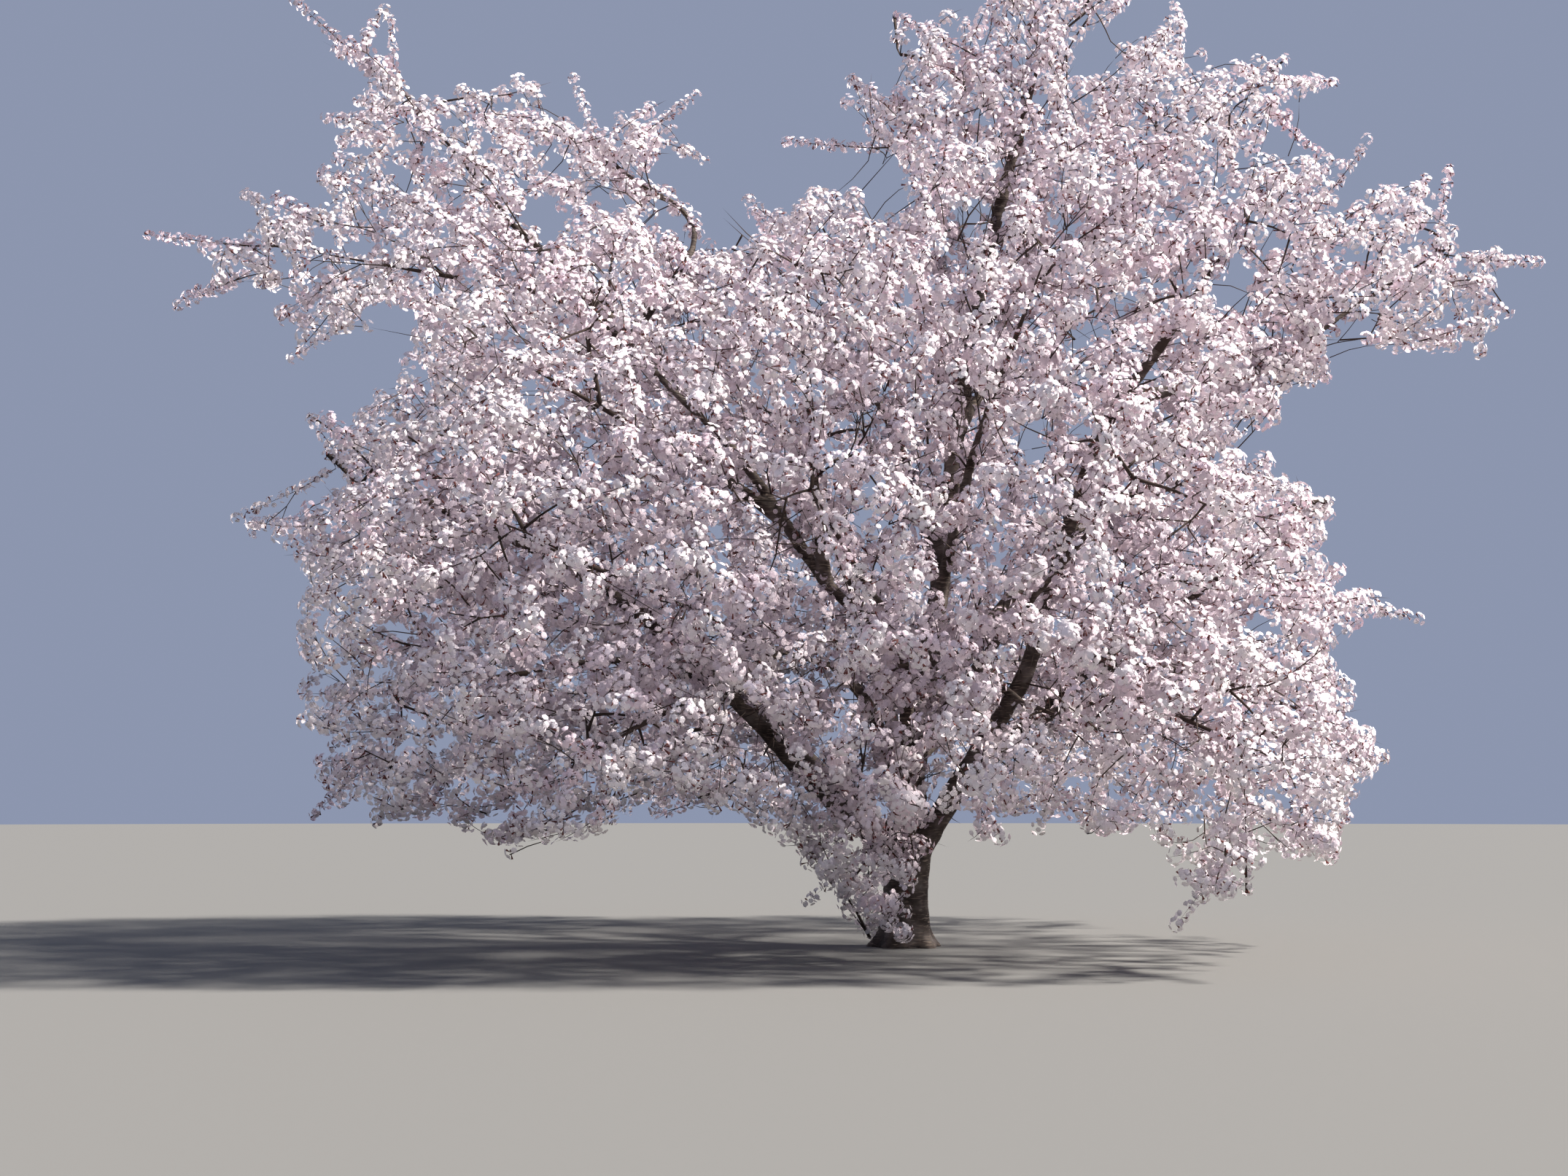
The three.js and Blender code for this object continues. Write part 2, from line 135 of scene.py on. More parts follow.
# Goals of the twigs: how the masses' spaces melt together, sleeves along the boughs, and level fans
GOALS = 150000
GOAL_BOX = 1.12
PAST_SOLIDS = 0.08
FILL_SOFTNESS = 1.4
FINGER_SHARE = 0.25
FINGER_EDGE = 0.72
SLEEVE_FROM = 0.22
SLEEVE_RADII = (0.3, 0.85)
SLEEVE_GOALS = 120
FAN_WAVES = 28
FAN_WIDTH = 1.15
FAN_HEIGHT = 0.6
FAN_LEAST = -0.25
FAN_BARE = -0.6

# Bunches of flowers along twigs, and on short spurs along boughs from the trunk or from another bough
BUNCH_STEP = 0.16
BUNCH_RADII = (0.045, 0.1)
TIP_STEP = 0.095
TIP_RADII = (0.04, 0.075)
SPUR_STEP = 0.085
SPURS_FROM = (0.4, 0.12)
SPUR_LENGTH = 0.8

# Puffs of bunches, and what stays in the depth of the crown: fewer bunches, and fewer but larger flowers
PUFF_CELLS = (0.2, 0.55)
PUFF_SHARE = 0.6
DEPTH_CELL = 0.45
INNER_DEPTHS = (4, 10)
INNER_KEEP = np.array((1.0, 0.9, 0.7))
INNER_FLOWERS = np.array((1.0, 0.5, 0.36))
INNER_SIZE = np.array((1.0, 1.42, 1.62))
INNER_FEWEST = 3

# Flowers: how many, how they stand in a bunch, how they face, and their shape
FLOWERS_PER_SQUARE = 3150
FEWEST_FLOWERS = 5
INWARD_FEWER = 0.8
FLOWER_SCATTER = 0.22
FLOWER_SHELL = (0.86, 1.1)
FACE_PUFF = 0.6
FACE_SCATTER = 0.2
LIGHT_SEEKING = 0.15
FLOWER_RADII = (0.025, 0.0335)
FLOWER_CUPS = (0.12, 0.5)
PETALS = 5
PETAL_HALF = math.radians(31)

# How light meets thin petals: shares of the bunch's side, the puff's side, the flower's face and chance, and
# what each petal's own place and chance add
SOFT_SHARES = (0.7, 1.1, 0.25, 0.08)
PETAL_SHARES = (0.25, 0.12)

# Calyxes and buds: how many to a bunch, how far they reach, and their size
CALYX_SHARE = 1.4
CALYX_REACHES = (0.9, 1.25)
CALYX_RADIUS = 0.011
CALYX_SIDES = 3

# Petals' colours, dealt out by bunch in these shares. The last one, darker, is painted shade for the bunches
# in the depth of the crown.
TINTS = {
    "petals_white": (0.925, 0.85, 0.89),
    "petals_blush": (0.915, 0.80, 0.855),
    "petals_rose": (0.89, 0.735, 0.80),
    "petals_cream": (0.925, 0.845, 0.86),
    "petals_dusky": (0.76, 0.655, 0.71),
}
TINT_SHARES = (0.46, 0.27, 0.09, 0.18, 0)
PAINTED_SHADE_TINT = 4

# Wood: rings and sides of the limbs, the skin melted over them, and the bark's lumps
RING_STEP = 0.28
BOUGH_SIDES = 10
TRUNK_SIDES = 30
TRUNK_RINGS = (0.0, 0.05, 0.12, 0.22, 0.36, 0.52, 0.7, 0.88, 1.0)
ROOT_SWELLS = (0.3, 0.24, 0.16, 0.09, 0.04)
COLLAR = 0.35
COLLAR_LENGTH = 0.22
SKIN_CELL = 0.026
LUMP_SIZE = 0.12
LUMP_HEIGHT = 0.022
GROUND_SNAP = 0.012

# Camera at eye height, tilted up
EYE = np.array((-1.30, -22.5, 1.5))
TILT = math.radians(6)
FOCAL_PIXELS = 2843
FRAME_SIZE = (2150, 1613)
SENSOR_WIDTH = 36

# Light and floor
SUN_STRENGTH = 10.7
SUN_SPREAD = math.radians(6)
SUN_COLOUR = (1.0, 0.95, 0.88)
SUN_WAY = (0.70, -0.06, 0.71)
SKY_COLOUR = (0.49, 0.565, 0.79, 1)
SKY_STRENGTH = 0.54
FLOOR_COLOUR = (0.165, 0.163, 0.157)
FLOOR_RADIUS = 160

UP = np.array((0.0, 0.0, 1.0))


def row(name, centre, reach, start, at, through, girth, region, tips=(), airy=False, boughless=False, fill=1):
    return SimpleNamespace(name=name, centre=np.array(centre), reach=np.array(reach), start=start, at=at,
                           through=list(map(np.array, through)), girth=girth, region=region,
                           tips=list(map(np.array, tips)), airy=airy, boughless=boughless, fill=fill)


# Each row is one bough and its mass of blossom, as in the part's source: the mass's middle and reach, the
# limb and its share where the bough starts, what the bough runs through, and its radius at its root.
CROWN = [
    row("crest", (1.6, 0.5, 9.9), (1.9, 1.6, 1.25), "trunk", 0.8,
        [(0.15, 0, 2.25), (0.43, 0.1, 4.1), (0.68, 0.3, 6.0), (1.08, 0.45, 8.0)], 0.155, "crest",
        tips=[(-0.03, 0.6, 10.57), (1.4, 0.4, 11.0), (2.42, 0.6, 10.98)], fill=1.35),
    row("east_upper", (3.15, -1.6, 7.05), (2.05, 1.85, 1.5), "trunk", 0.75,
        [(0.79, -0.25, 2.08), (1.27, -0.5, 2.92), (2.0, -1.0, 5.33)], 0.14, "east_upper"),
    row("west_heart", (-3.65, 1.1, 7.65), (2.1, 1.8, 1.15), "crest", 0.1,
        [(-0.03, -0.26, 2.95), (-0.95, -0.5, 4.0), (-1.7, -0.7, 5.1), (-2.7, -0.3, 6.2)], 0.13, "west_upper"),
    row("west_edge", (-5.7, -0.7, 5.0), (1.7, 1.9, 1.35), "trunk", 0.8,
        [(-0.9, -0.2, 1.65), (-1.95, -0.5, 2.75), (-3.4, -0.9, 3.9)], 0.118, "west_lower",
        tips=[(-6.41, -0.5, 5.68), (-7.1, -0.8, 4.53)], fill=1.15),
    row("front_mid", (-0.9, -4.1, 4.05), (1.75, 1.6, 1.55), "trunk", 0.72,
        [(-0.03, -0.9, 2.0), (-0.15, -2.0, 3.1)], 0.112, "front", fill=1.2),
    row("back_mid", (-0.8, 4.4, 5.8), (2.2, 1.8, 1.9), "trunk", 0.78,
        [(0, 0.9, 2.0), (-0.3, 2.5, 3.6)], 0.125, "back", fill=0.8),
    row("back_west", (-4.5, 3.2, 5.0), (2.1, 2.0, 1.8), "trunk", 0.9,
        [(-0.9, 0.7, 1.9), (-2.3, 1.8, 3.3)], 0.108, "back", fill=0.8),
    row("back_east", (4.0, 3.0, 5.9), (2.3, 2.0, 1.75), "crest", 0.22,
        [(1.5, 1.3, 4.1), (2.5, 2.1, 5.0)], 0.105, "back_east", fill=0.9),
    row("crest_west", (0.05, -0.5, 8.6), (1.65, 1.4, 0.95), "crest", 0.86, [], 0.062, "crest",
        tips=[(-1.3, 0.3, 8.98), (-0.54, 0.5, 9.79)], airy=True, fill=1.05),
    row("crest_east", (3.25, -0.7, 8.85), (1.65, 1.5, 1.1), "crest", 0.68, [(1.9, 0.35, 7.7)], 0.066, "crest",
        tips=[(3.12, 0.2, 10.55), (4.28, -0.2, 9.76), (4.96, 0.4, 9.7), (4.81, 0.6, 8.94)], airy=True),
    row("crest_heart", (1.6, 3.2, 7.95), (1.8, 1.7, 1.4), "crest", 0.56,
        [(1.1, 1.0, 6.5)], 0.07, "back_east"),
    row("saddle", (-1.3, 3.0, 8.1), (1.9, 1.7, 1.3), "crest", 0.4,
        [(-0.2, 1.3, 6.2)], 0.08, "west_upper"),
    row("east_tip", (5.6, -0.4, 7.35), (1.5, 1.4, 1.25), "east_upper", 0.85,
        [(3.7, -0.7, 6.1)], 0.075, "east_upper",
        tips=[(5.28, 0.2, 8.99), (6.06, -0.2, 8.55), (7.09, 0, 7.5), (6.44, -0.8, 6.73), (6.06, -1.0, 6.22),
              (4.93, -1.2, 6.3)], airy=True, fill=0.95),
    row("front_upper", (1.1, -3.0, 6.45), (1.75, 1.65, 1.3), "crest", 0.34,
        [(0.7, -0.7, 5.2)], 0.078, "front_upper", fill=1.1),
    row("front_west_upper", (-3.8, -2.4, 5.8), (2.25, 1.9, 1.45), "west_heart", 0.5,
        [(-2.3, -1.3, 5.1)], 0.078, "front_upper"),
    row("front_heart", (-1.15, -3.0, 6.25), (1.65, 1.7, 1.35), "west_heart", 0.38,
        [(-1.0, -1.5, 4.9)], 0.072, "front_upper", fill=1.1),
    row("west_tier", (-6.0, -0.3, 7.45), (2.15, 1.6, 0.85), "west_heart", 0.86,
        [(-3.9, -0.6, 7.0)], 0.066, "west_upper",
        tips=[(-8.36, 0, 7.81), (-7.79, -0.8, 6.81), (-6.46, -1.2, 6.13), (-7.48, 0.6, 8.44)],
        airy=True, fill=0.85),
    row("west_top", (-5.3, 0.4, 9.2), (2.0, 1.5, 1.3), "west_heart", 0.93,
        [(-4.2, -0.2, 7.8)], 0.062, "west_upper",
        tips=[(-6.91, 0.4, 10.68), (-6.36, -0.3, 9.05), (-5.86, 0.8, 10.65), (-5.23, 0.4, 9.47)],
        airy=True, fill=0.85),
    row("west_inner", (-3.55, 1.9, 9.4), (1.6, 1.5, 0.95), "west_heart", 0.9,
        [(-2.3, 0.3, 7.9)], 0.056, "west_upper",
        tips=[(-3.8, 1.2, 10.09), (-2.31, 1.0, 9.78), (-2.19, 0.5, 8.82)], airy=True),
    row("front_west", (-3.4, -4.0, 3.8), (1.95, 1.65, 1.35), "crest", 0.09,
        [(-0.6, -0.5, 2.85), (-1.35, -0.95, 3.1), (-2.1, -2.0, 3.4)], 0.092, "front", fill=1.1),
    row("front_east", (1.7, -4.0, 4.25), (1.85, 1.65, 1.45), "front_mid", 0.3,
        [(0.7, -2.2, 3.0)], 0.084, "front_east"),
    row("east_mid", (3.85, -1.3, 4.3), (1.95, 1.9, 1.45), "east_upper", 0.16,
        [(1.9, -0.5, 2.9)], 0.095, "front_east", tips=[(4.31, -1.5, 4.6), (5.25, -1.2, 3.42)]),
    row("skirt_west", (-4.95, -1.6, 2.7), (1.65, 2.0, 1.55), "west_edge", 0.5,
        [(-2.9, -1.1, 3.0)], 0.07, "west_lower",
        tips=[(-5.34, -1.8, 1.33), (-6.17, -0.9, 1.4)], fill=1.35),
    row("skirt_front_west", (-2.9, -3.8, 2.05), (1.55, 1.5, 1.1), "front_west", 0.5,
        [(-1.9, -2.3, 2.7)], 0.052, "west_lower",
        tips=[(-2.81, -4.2, 1.42), (-3.73, -4.0, 1.07)], fill=1.35),
    row("skirt_front", (1.35, -3.7, 2.25), (1.55, 1.45, 1.2), "front_east", 0.45,
        [(1.0, -2.4, 2.5)], 0.058, "skirt_east", fill=1.35),
    row("skirt_east", (3.0, -3.2, 2.05), (1.5, 1.6, 1.6), "east_mid", 0.3,
        [(2.2, -1.6, 2.6)], 0.062, "skirt_east", tips=[(3.01, -3.0, 0.69), (2.23, -3.6, 0.43)]),
    row("skirt_far_east", (4.45, -0.2, 2.45), (1.35, 2.1, 1.45), "east_mid", 0.55,
        [(3.2, -0.3, 2.9)], 0.06, "skirt_east", tips=[(5.11, -0.4, 1.98), (4.26, -1.0, 0.92)]),
    row("back_low_west", (-2.9, 4.3, 2.4), (1.95, 1.75, 1.35), "back_west", 0.45,
        [(-1.8, 2.4, 2.5)], 0.066, "back", fill=0.85),
    row("back_low_east", (2.6, 4.2, 3.0), (2.35, 2.05, 1.6), "back_mid", 0.3,
        [(1.0, 2.1, 2.6)], 0.078, "back_east", fill=0.85),
    row("weeping_front", (-0.56, -2.3, 1.5), (1.0, 1.2, 1.35), "trunk", 0.62, [], 0.045, "front",
        tips=[(-0.47, -2.2, 0.23), (0.23, -2.0, 0.3), (-1.07, -2.4, 0.59)], boughless=True, fill=3.6),
]

CENTRES = np.array([one.centre for one in CROWN])
REACHES = np.array([one.reach for one in CROWN])

# The crown's edge against the sky in the frame, in pixels, and its top beyond the frame
CROWN_EDGE = np.array([
    (430, 1118), (408, 900), (414, 774), (365, 742), (322, 712), (419, 699), (462, 645), (425, 570),
    (494, 559), (537, 527), (559, 484), (505, 451), (473, 462), (398, 494), (425, 446), (360, 435),
    (355, 398), (242, 419), (290, 371), (204, 322), (333, 322), (333, 269), (430, 236), (446, 161),
    (505, 129), (441, 64), (403, 0), (390, -90), (560, -90), (538, 21), (543, 97), (602, 140), (634, 97),
    (752, 107), (785, 102), (709, 150), (817, 161), (957, 129), (892, 172), (968, 220), (838, 231),
    (914, 253), (860, 322), (973, 285), (914, 355), (989, 328), (994, 263), (1075, 290), (1118, 231),
    (1075, 193), (1150, 161), (1166, 107), (1220, 64), (1225, 21), (1322, 5), (1380, -70), (1540, -75),
    (1560, -20), (1527, 81), (1570, 43), (1609, 5), (1623, 75), (1763, 81), (1827, 113), (1763, 172),
    (1720, 215), (1806, 210), (1876, 188), (1817, 269), (1989, 226), (1967, 301), (2042, 312), (2112, 360),
    (2042, 398), (2069, 430), (2032, 489), (1956, 484), (1892, 473), (1827, 419), (1817, 537), (1763, 580),
    (1688, 570), (1677, 602), (1763, 645), (1827, 688), (1817, 752), (1870, 801), (1946, 849), (1817, 871),
    (1838, 914), (1903, 1043), (1860, 1090), (1840, 1193), (1720, 1215), (1612, 1268), (1580, 1150),
    (1400, 1150), (1330, 1180), (1300, 1310), (1180, 1310), (1097, 1172), (1000, 1110), (914, 1118),
    (699, 1172), (602, 1129), (516, 1129),
], float)
EDGE_LINES = list(zip(CROWN_EDGE, np.roll(CROWN_EDGE, -1, axis=0)))
EDGE_BLUR = 9
TIP_STRAYS = 5

# Where the sky shows inside the crown: middles and radii in the frame
SKY_OPENINGS = np.array([
    (1150, 215, 44), (1205, 255, 36), (742, 302, 30), (1007, 313, 26), (1506, 72, 26), (1336, 297, 22),
    (1215, 84, 22), (536, 446, 20), (1484, 469, 22), (1782, 548, 20), (1691, 404, 20), (1457, 304, 18),
    (1155, 148, 18), (1422, 603, 18), (1533, 426, 16), (1184, 572, 14), (942, 313, 14), (820, 262, 14),
    (1728, 860, 14), (456, 927, 16),
], float)

# Where a limb or the ground shows: two ends in the frame, half the width, and how far off flowers hide it
WINDOWS = np.array([
    (1030, 655, 1140, 808, 24, 21.8), (1292, 800, 1318, 735, 20, 22.3), (1316, 660, 1338, 545, 20, 22.4),
    (1010, 963, 1078, 1058, 20, 22.0), (1372, 985, 1412, 900, 20, 22.0), (1556, 528, 1590, 496, 13, 21.3),
    (1366, 330, 1385, 195, 16, 22.9), (1072, 921, 1180, 948, 16, 21.8), (1302, 1118, 1276, 1190, 15, 22.0),
    (1270, 1200, 1270, 1290, 19, 22.0), (1314, 1162, 1310, 1200, 26, 23.5), (400, 358, 640, 374, 9, 22.4),
    (650, 245, 740, 335, 12, 22.6), (905, 515, 965, 580, 13, 22.2),
])


def unit(v):
    return v / max(norm(v), 1e-12)


def units(v):
    return v / np.maximum(norm(v, axis=-1, keepdims=True), 1e-12)


def crossways(ways):
    """Two more directions for each one, all square to one another."""
    helper = np.where(np.abs(ways[..., :1]) < 0.8, np.array((1.0, 0, 0)), np.array((0, 1.0, 0)))
    across = units(np.cross(helper, ways))
    return across, np.cross(ways, across)


def ways_round(across, over, angles):
    """Directions at some angles round each pair of crossways ones."""
    return across[..., None, :] * np.cos(angles)[..., None] + over[..., None, :] * np.sin(angles)[..., None]


def seeded_random(seed):
    """Repeatable random numbers from 0 to 1, as in the part's source."""
    word = 0xFFFFFFFF
    state = [seed & word]

    def draw():
        state[0] = (state[0] + 0x6D2B79F5) & word
        mixed = state[0]
        mixed = ((mixed ^ (mixed >> 15)) * (mixed | 1)) & word
        mixed ^= (mixed + (mixed ^ (mixed >> 7)) * (mixed | 61)) & word
        return ((mixed ^ (mixed >> 14)) & word) / 4294967296

    return draw


class Curve:
    def all_at(self, shares):
        return np.array([self.at(share) for share in shares])

    def line(self, count):
        return self.all_at([i / count for i in range(count + 1)])


class SplineCurve(Curve):
    """A centripetal curve through points."""

    def __init__(self, points):
        self.points = points

    def at(self, share):
        points = self.points
        place = (len(points) - 1) * share
        whole = math.floor(place)
        part = place - whole
        if part == 0 and whole == len(points) - 1:
            whole, part = len(points) - 2, 1.0
        before = points[whole - 1] if whole > 0 else 2 * points[0] - points[1]
        one, two = points[whole], points[whole + 1]
        after = points[whole + 2] if whole + 2 < len(points) else 2 * points[-1] - points[-2]
        d0, d1, d2 = (math.sqrt(norm(b - a)) for a, b in ((before, one), (one, two), (two, after)))
        t1 = ((one - before) / d0 - (two - before) / (d0 + d1) + (two - one) / d1) * d1
        t2 = ((two - one) / d1 - (after - one) / (d1 + d2) + (after - two) / d2) * d1
        return (one + t1 * part + (3 * (two - one) - 2 * t1 - t2) * part**2
                + (2 * (one - two) + t1 + t2) * part**3)

    def direction(self, share):
        return unit(self.at(min(share + 1e-4, 1)) - self.at(max(share - 1e-4, 0)))


class BentCurve(Curve):
    """A curve from start to end, drawn towards bend."""

    def __init__(self, start, bend, end):
        self.ends = (start, bend, end)

    def at(self, share):
        start, bend, end = self.ends
        return start * (1 - share) ** 2 + bend * (2 * share * (1 - share)) + end * share**2


def line_length(line):
    return norm(np.diff(line, axis=0), axis=1).sum()


def trunk_middle(share):
    return np.array((TRUNK_LEAN * share * share, 0, TRUNK_TOP * share))


class Limb(SplineCurve):
    """The tapering limb of one row, from the trunk or another limb into its mass."""

    def __init__(self, one):
        start = trunk_middle(one.at) if one.start == "trunk" else LIMBS[one.start].at(one.at)
        points = [start, *one.through]
        share = norm((points[-1] - one.centre) / one.reach)
        points.append(one.centre + (points[-1] - one.centre) * (ENTRY / share))
        super().__init__(points)
        self.girth = one.girth
        self.tip = max(LEAST_TIP_RADIUS, one.girth * TIP_SHARE)
        self.length = line_length(self.line(200))

    def width(self, share):
        return self.girth + (self.tip - self.girth) * share**0.8


def limb_places():
    """Places close together along all limbs, and the radii there."""
    spots, radii = [], []
    for limb in LIMBS.values():
        count = math.ceil(limb.length / LIMB_SPOT_STEP)
        spots.append(limb.line(count))
        radii += [limb.width(i / count) for i in range(count + 1)]
    return np.concatenate(spots), np.array(radii)


LIMBS = {}
for one in CROWN:
    if not one.boughless:
        LIMBS[one.name] = Limb(one)
LIMB_SPOTS, LIMB_RADII = limb_places()


def reach_shares(points):
    """How far each point is from each mass's middle: 1 on its outline."""
    return norm((points[:, None, :] - CENTRES) / REACHES, axis=2)


def in_space(index, points, margin, limit=OUTLINE):
    """Whether each point is inside a mass's outline and nearer to it, by share of reach, than to others."""
    shares = reach_shares(np.atleast_2d(points))
    own = shares[:, index] + margin
    shares[:, index] = np.inf
    return (own < limit) & (shares.min(axis=1) > own)


def clear_of_limbs(points, radius):
    gaps = norm(np.atleast_2d(points)[:, None, :] - LIMB_SPOTS, axis=2)
    return (gaps > LIMB_RADII + radius + LIMB_CLEARANCE).all(axis=1)


def outline_point(index, direction):
    centre = CROWN[index].centre
    steps = centre + direction * (np.arange(1, OUTLINE_STEPS + 1) / OUTLINE_STEPS)[:, None]
    inside = in_space(index, steps, 0.03)
    last = OUTLINE_STEPS if inside.all() else int(np.argmin(inside))
    return centre + direction * (last / OUTLINE_STEPS)


def spray_spots(root, along, length, width):
    """Points on the edges of a shoot's eight-faced spray in the solids."""
    across = unit(np.cross((1, 0, 0), along))
    over = np.cross(along, across)
    belly = root + along * length * SPRAY_BELLY
    ring = [belly + across * width / 2, belly + over * width * SPRAY_DEPTH,
            belly - across * width / 2, belly - over * width * SPRAY_DEPTH]
    spots = []
    for k in range(4):
        for a, b in ((root, ring[k]), (ring[k], ring[(k + 1) % 4]), (ring[k], root + along * length)):
            spots += [a + (b - a) * share for share in (0, 0.25, 0.5, 0.75, 1)]
    return np.array(spots)


def to_frame(points):
    """Where points stand in the frame, in its pixels, and how far off they are."""
    dx, dy, dz = (points - EYE).T
    depth = dy * math.cos(TILT) + dz * math.sin(TILT)
    rise = -dy * math.sin(TILT) + dz * math.cos(TILT)
    return (np.stack([FRAME_SIZE[0] / 2 + FOCAL_PIXELS * dx / depth,
                      FRAME_SIZE[1] / 2 - FOCAL_PIXELS * rise / depth], axis=1), depth)


def gaps_to_line(spots, start, end):
    """How far spots in the frame stand from the line between two ends."""
    way = end - start
    share = np.clip(((spots - start) @ way) / (way @ way), 0, 1)
    return norm(spots - start - share[:, None] * way, axis=1)


def inside_edge(spots):
    x, y = spots.T
    inside = np.zeros(len(spots), bool)
    for (x0, y0), (x1, y1) in EDGE_LINES:
        crossed = (y0 > y) != (y1 > y)
        inside ^= crossed & (x < x0 + (y - y0) * (x1 - x0) / (y1 - y0 if y1 != y0 else 1))
    return inside


def edge_gaps(points):
    """How far outside the crown's edge points stand in the frame: below 0 inside it."""
    spots, _ = to_frame(points)
    nearest = np.full(len(spots), np.inf)
    for start, end in EDGE_LINES:
        nearest = np.minimum(nearest, gaps_to_line(spots, start, end))
    return np.where(inside_edge(spots), -nearest, nearest)


def against_sky(points, random, margin):
    """Whether each point stands against the sky, with an edge that wavers."""
    spots, _ = to_frame(points)
    spots = spots + random.normal(size=spots.shape) * EDGE_BLUR
    inside = inside_edge(spots)
    for x, y, radius in SKY_OPENINGS:
        inside &= np.hypot(spots[:, 0] - x, spots[:, 1] - y) > radius + margin
    return ~inside


def hides_limb(points):
    spots, depth = to_frame(points)
    hidden = np.zeros(len(points), bool)
    for *ends, half, back in WINDOWS:
        gap = gaps_to_line(spots, *np.reshape(ends, (2, 2)))
        hidden |= (gap < half) & (depth < back)
    return hidden


def outward_way(point):
    """The way twigs take at a point: away from the fork, and steeper up high."""
    return unit(point - UP * (FORK_HEIGHT + LEVELLING * point[2]))


class Mass:
    """The twigs of one mass, each a line of points that leaves a place on another."""

    def __init__(self, index):
        self.index = index
        self.row = CROWN[index]
        self.limb = LIMBS.get(self.row.name)
        self.spots, self.ways = np.zeros((2, MOST_PLACES, 3))
        self.owner = np.zeros(MOST_PLACES, int)
        self.count = 0
        self.twigs = []

    def add(self, line, parent, bare, tip=False):
        """Adds a twig, bare up to a share of its length, and the places along it."""
        number = len(self.twigs)
        twig = SimpleNamespace(line=line, parent=parent, length=line_length(line), bare=bare, tip=tip)
        self.twigs.append(twig)
        for a, b in zip(line[:-1], line[1:]):
            if self.count < len(self.spots):
                self.place(b, unit(b - a), number)

    def place(self, spot, way, owner):
        self.spots[self.count] = spot
        self.ways[self.count] = way
        self.owner[self.count] = owner
        self.count += 1

    def from_places(self, goal):
        """The way and distance from each place to a goal, and how far a twig would turn."""
        ways = goal - self.spots[: self.count]
        distance = norm(ways, axis=1)
        turn = 1 - (ways * self.ways[: self.count]).sum(axis=1) / np.maximum(distance, 1e-3)
        return ways, distance, turn

    def best_place(self, goal, nearest=0, outward=0):
        ways, distance, turn = self.from_places(goal)
        inward = 1 - ways @ outward_way(goal) / np.maximum(distance, 1e-3)
        cost = distance * (1 + TURNING * turn + outward * inward) + np.where(distance < nearest, TOO_NEAR, 0)
        best = int(np.argmin(cost))
        return best, distance[best]

    def shoot(self, goal, length, width, limit, tip=False):
        """A shoot of the source's rule, or False where its spray or twig has no room."""
        best, _ = self.best_place(goal)
        place = self.spots[best]
        along = unit(unit(goal - place) + unit(goal - self.row.centre))
        root = goal - along * length
        spots = spray_spots(root, along, length, width)
        if not (in_space(self.index, spots, 0.012, limit).all() and clear_of_limbs(spots, 0).all()):
            return False
        end = root + along * length * SPRAY_SUNK
        bend = (place + end) / 2 + UP * norm(place - end) * 0.06
        curve = BentCurve(place, bend, end)
        spots = curve.all_at((0.25, 0.5, 0.75))
        if not in_space(self.index, spots, 0.05, limit).all() or not clear_of_limbs(spots[1:], 0.02).all():
            return False
        count = max(4, round(norm(goal - place) / TWIG_NODE_STEP))
        line = SplineCurve([place, curve.at(0.5), end, goal]).line(count)
        if tip and edge_gaps(line[: 1 + count * 3 // 4]).max() > TIP_STRAYS:
            return False
        self.add(line, self.owner[best], 0.2, tip)
        return True

    def reach_tip(self, goal):
        """A tip from whichever place lets it stay within the crown's edge."""
        ways, distance, turn = self.from_places(goal)
        cost = distance * (1 + TURNING * turn) + np.where(distance < 0.6, TOO_NEAR, 0)
        order = np.argsort(cost)[:TIP_PLACES]
        steps = self.spots[order][:, None] + ways[order][:, None] * np.linspace(0.15, 0.75, 5)[:, None]
        strays = np.maximum(edge_gaps(steps.reshape(-1, 3)).reshape(len(order), 5), 0).mean(axis=1)
        best = order[np.argmin(cost[order] + strays / 20)]
        place = self.spots[best]
        bend = place + self.ways[best] * distance[best] * 0.2 + (goal - place) * 0.4
        count = max(4, round(distance[best] / TWIG_NODE_STEP))
        self.add(BentCurve(place, bend, goal).line(count), self.owner[best], 0.1, True)


def stem_line(mass):
    centre = mass.row.centre
    if mass.limb:
        way = mass.limb.direction(1)
        start = mass.limb.at(1) - way * 0.04
    else:
        start = trunk_middle(mass.row.at)
        way = unit(centre - start)
    along = centre - start
    return BentCurve(start, start + way * norm(along) * 0.6, start + along * 1.5).line(8)


def grow_tips(mass):
    """The long sprays at the crown's edge. Gives back those that have no room yet."""
    late = []
    for tip in mass.row.tips:
        for share in (1, 0.8, 0.6, 0.45):
            length = TIP_LENGTH * share
            if mass.shoot(tip, length, length * TIP_WIDTH, TIP_OUTLINE, tip=True):
                break
        else:
            late.append(tip)
    return late


def grow_shoots(mass, draw, waver):
    """Even shoots out to the mass's outline, but none into the sky."""
    centre = mass.row.centre
    turn = draw() * math.pi * 2
    for k in range(SHOOTS):
        for tries in range(SHOOT_TRIES):
            height = 1 - (2 * k + 1) / SHOOTS
            bearing = k * GOLDEN_ANGLE + turn
            flat = math.sqrt(1 - height * height)
            loose = np.array((draw(), draw(), draw())) - 0.5
            way = np.array((flat * math.cos(bearing), flat * math.sin(bearing), height)) + 0.3 * loose
            edge = outline_point(mass.index, way * mass.row.reach)
            goal = edge + (centre - edge) * (0.04 + 0.03 * tries)
            if against_sky(goal[None], waver, -8)[0]:
                continue
            length = min(SPRAY_LENGTHS[1], norm(goal - centre) * (0.72 - 0.06 * tries))
            if length < SPRAY_LENGTHS[0]:
                continue
            if mass.shoot(goal, length, min(SPRAY_WIDTH * length, SPRAY_WIDEST), OUTLINE):
                break


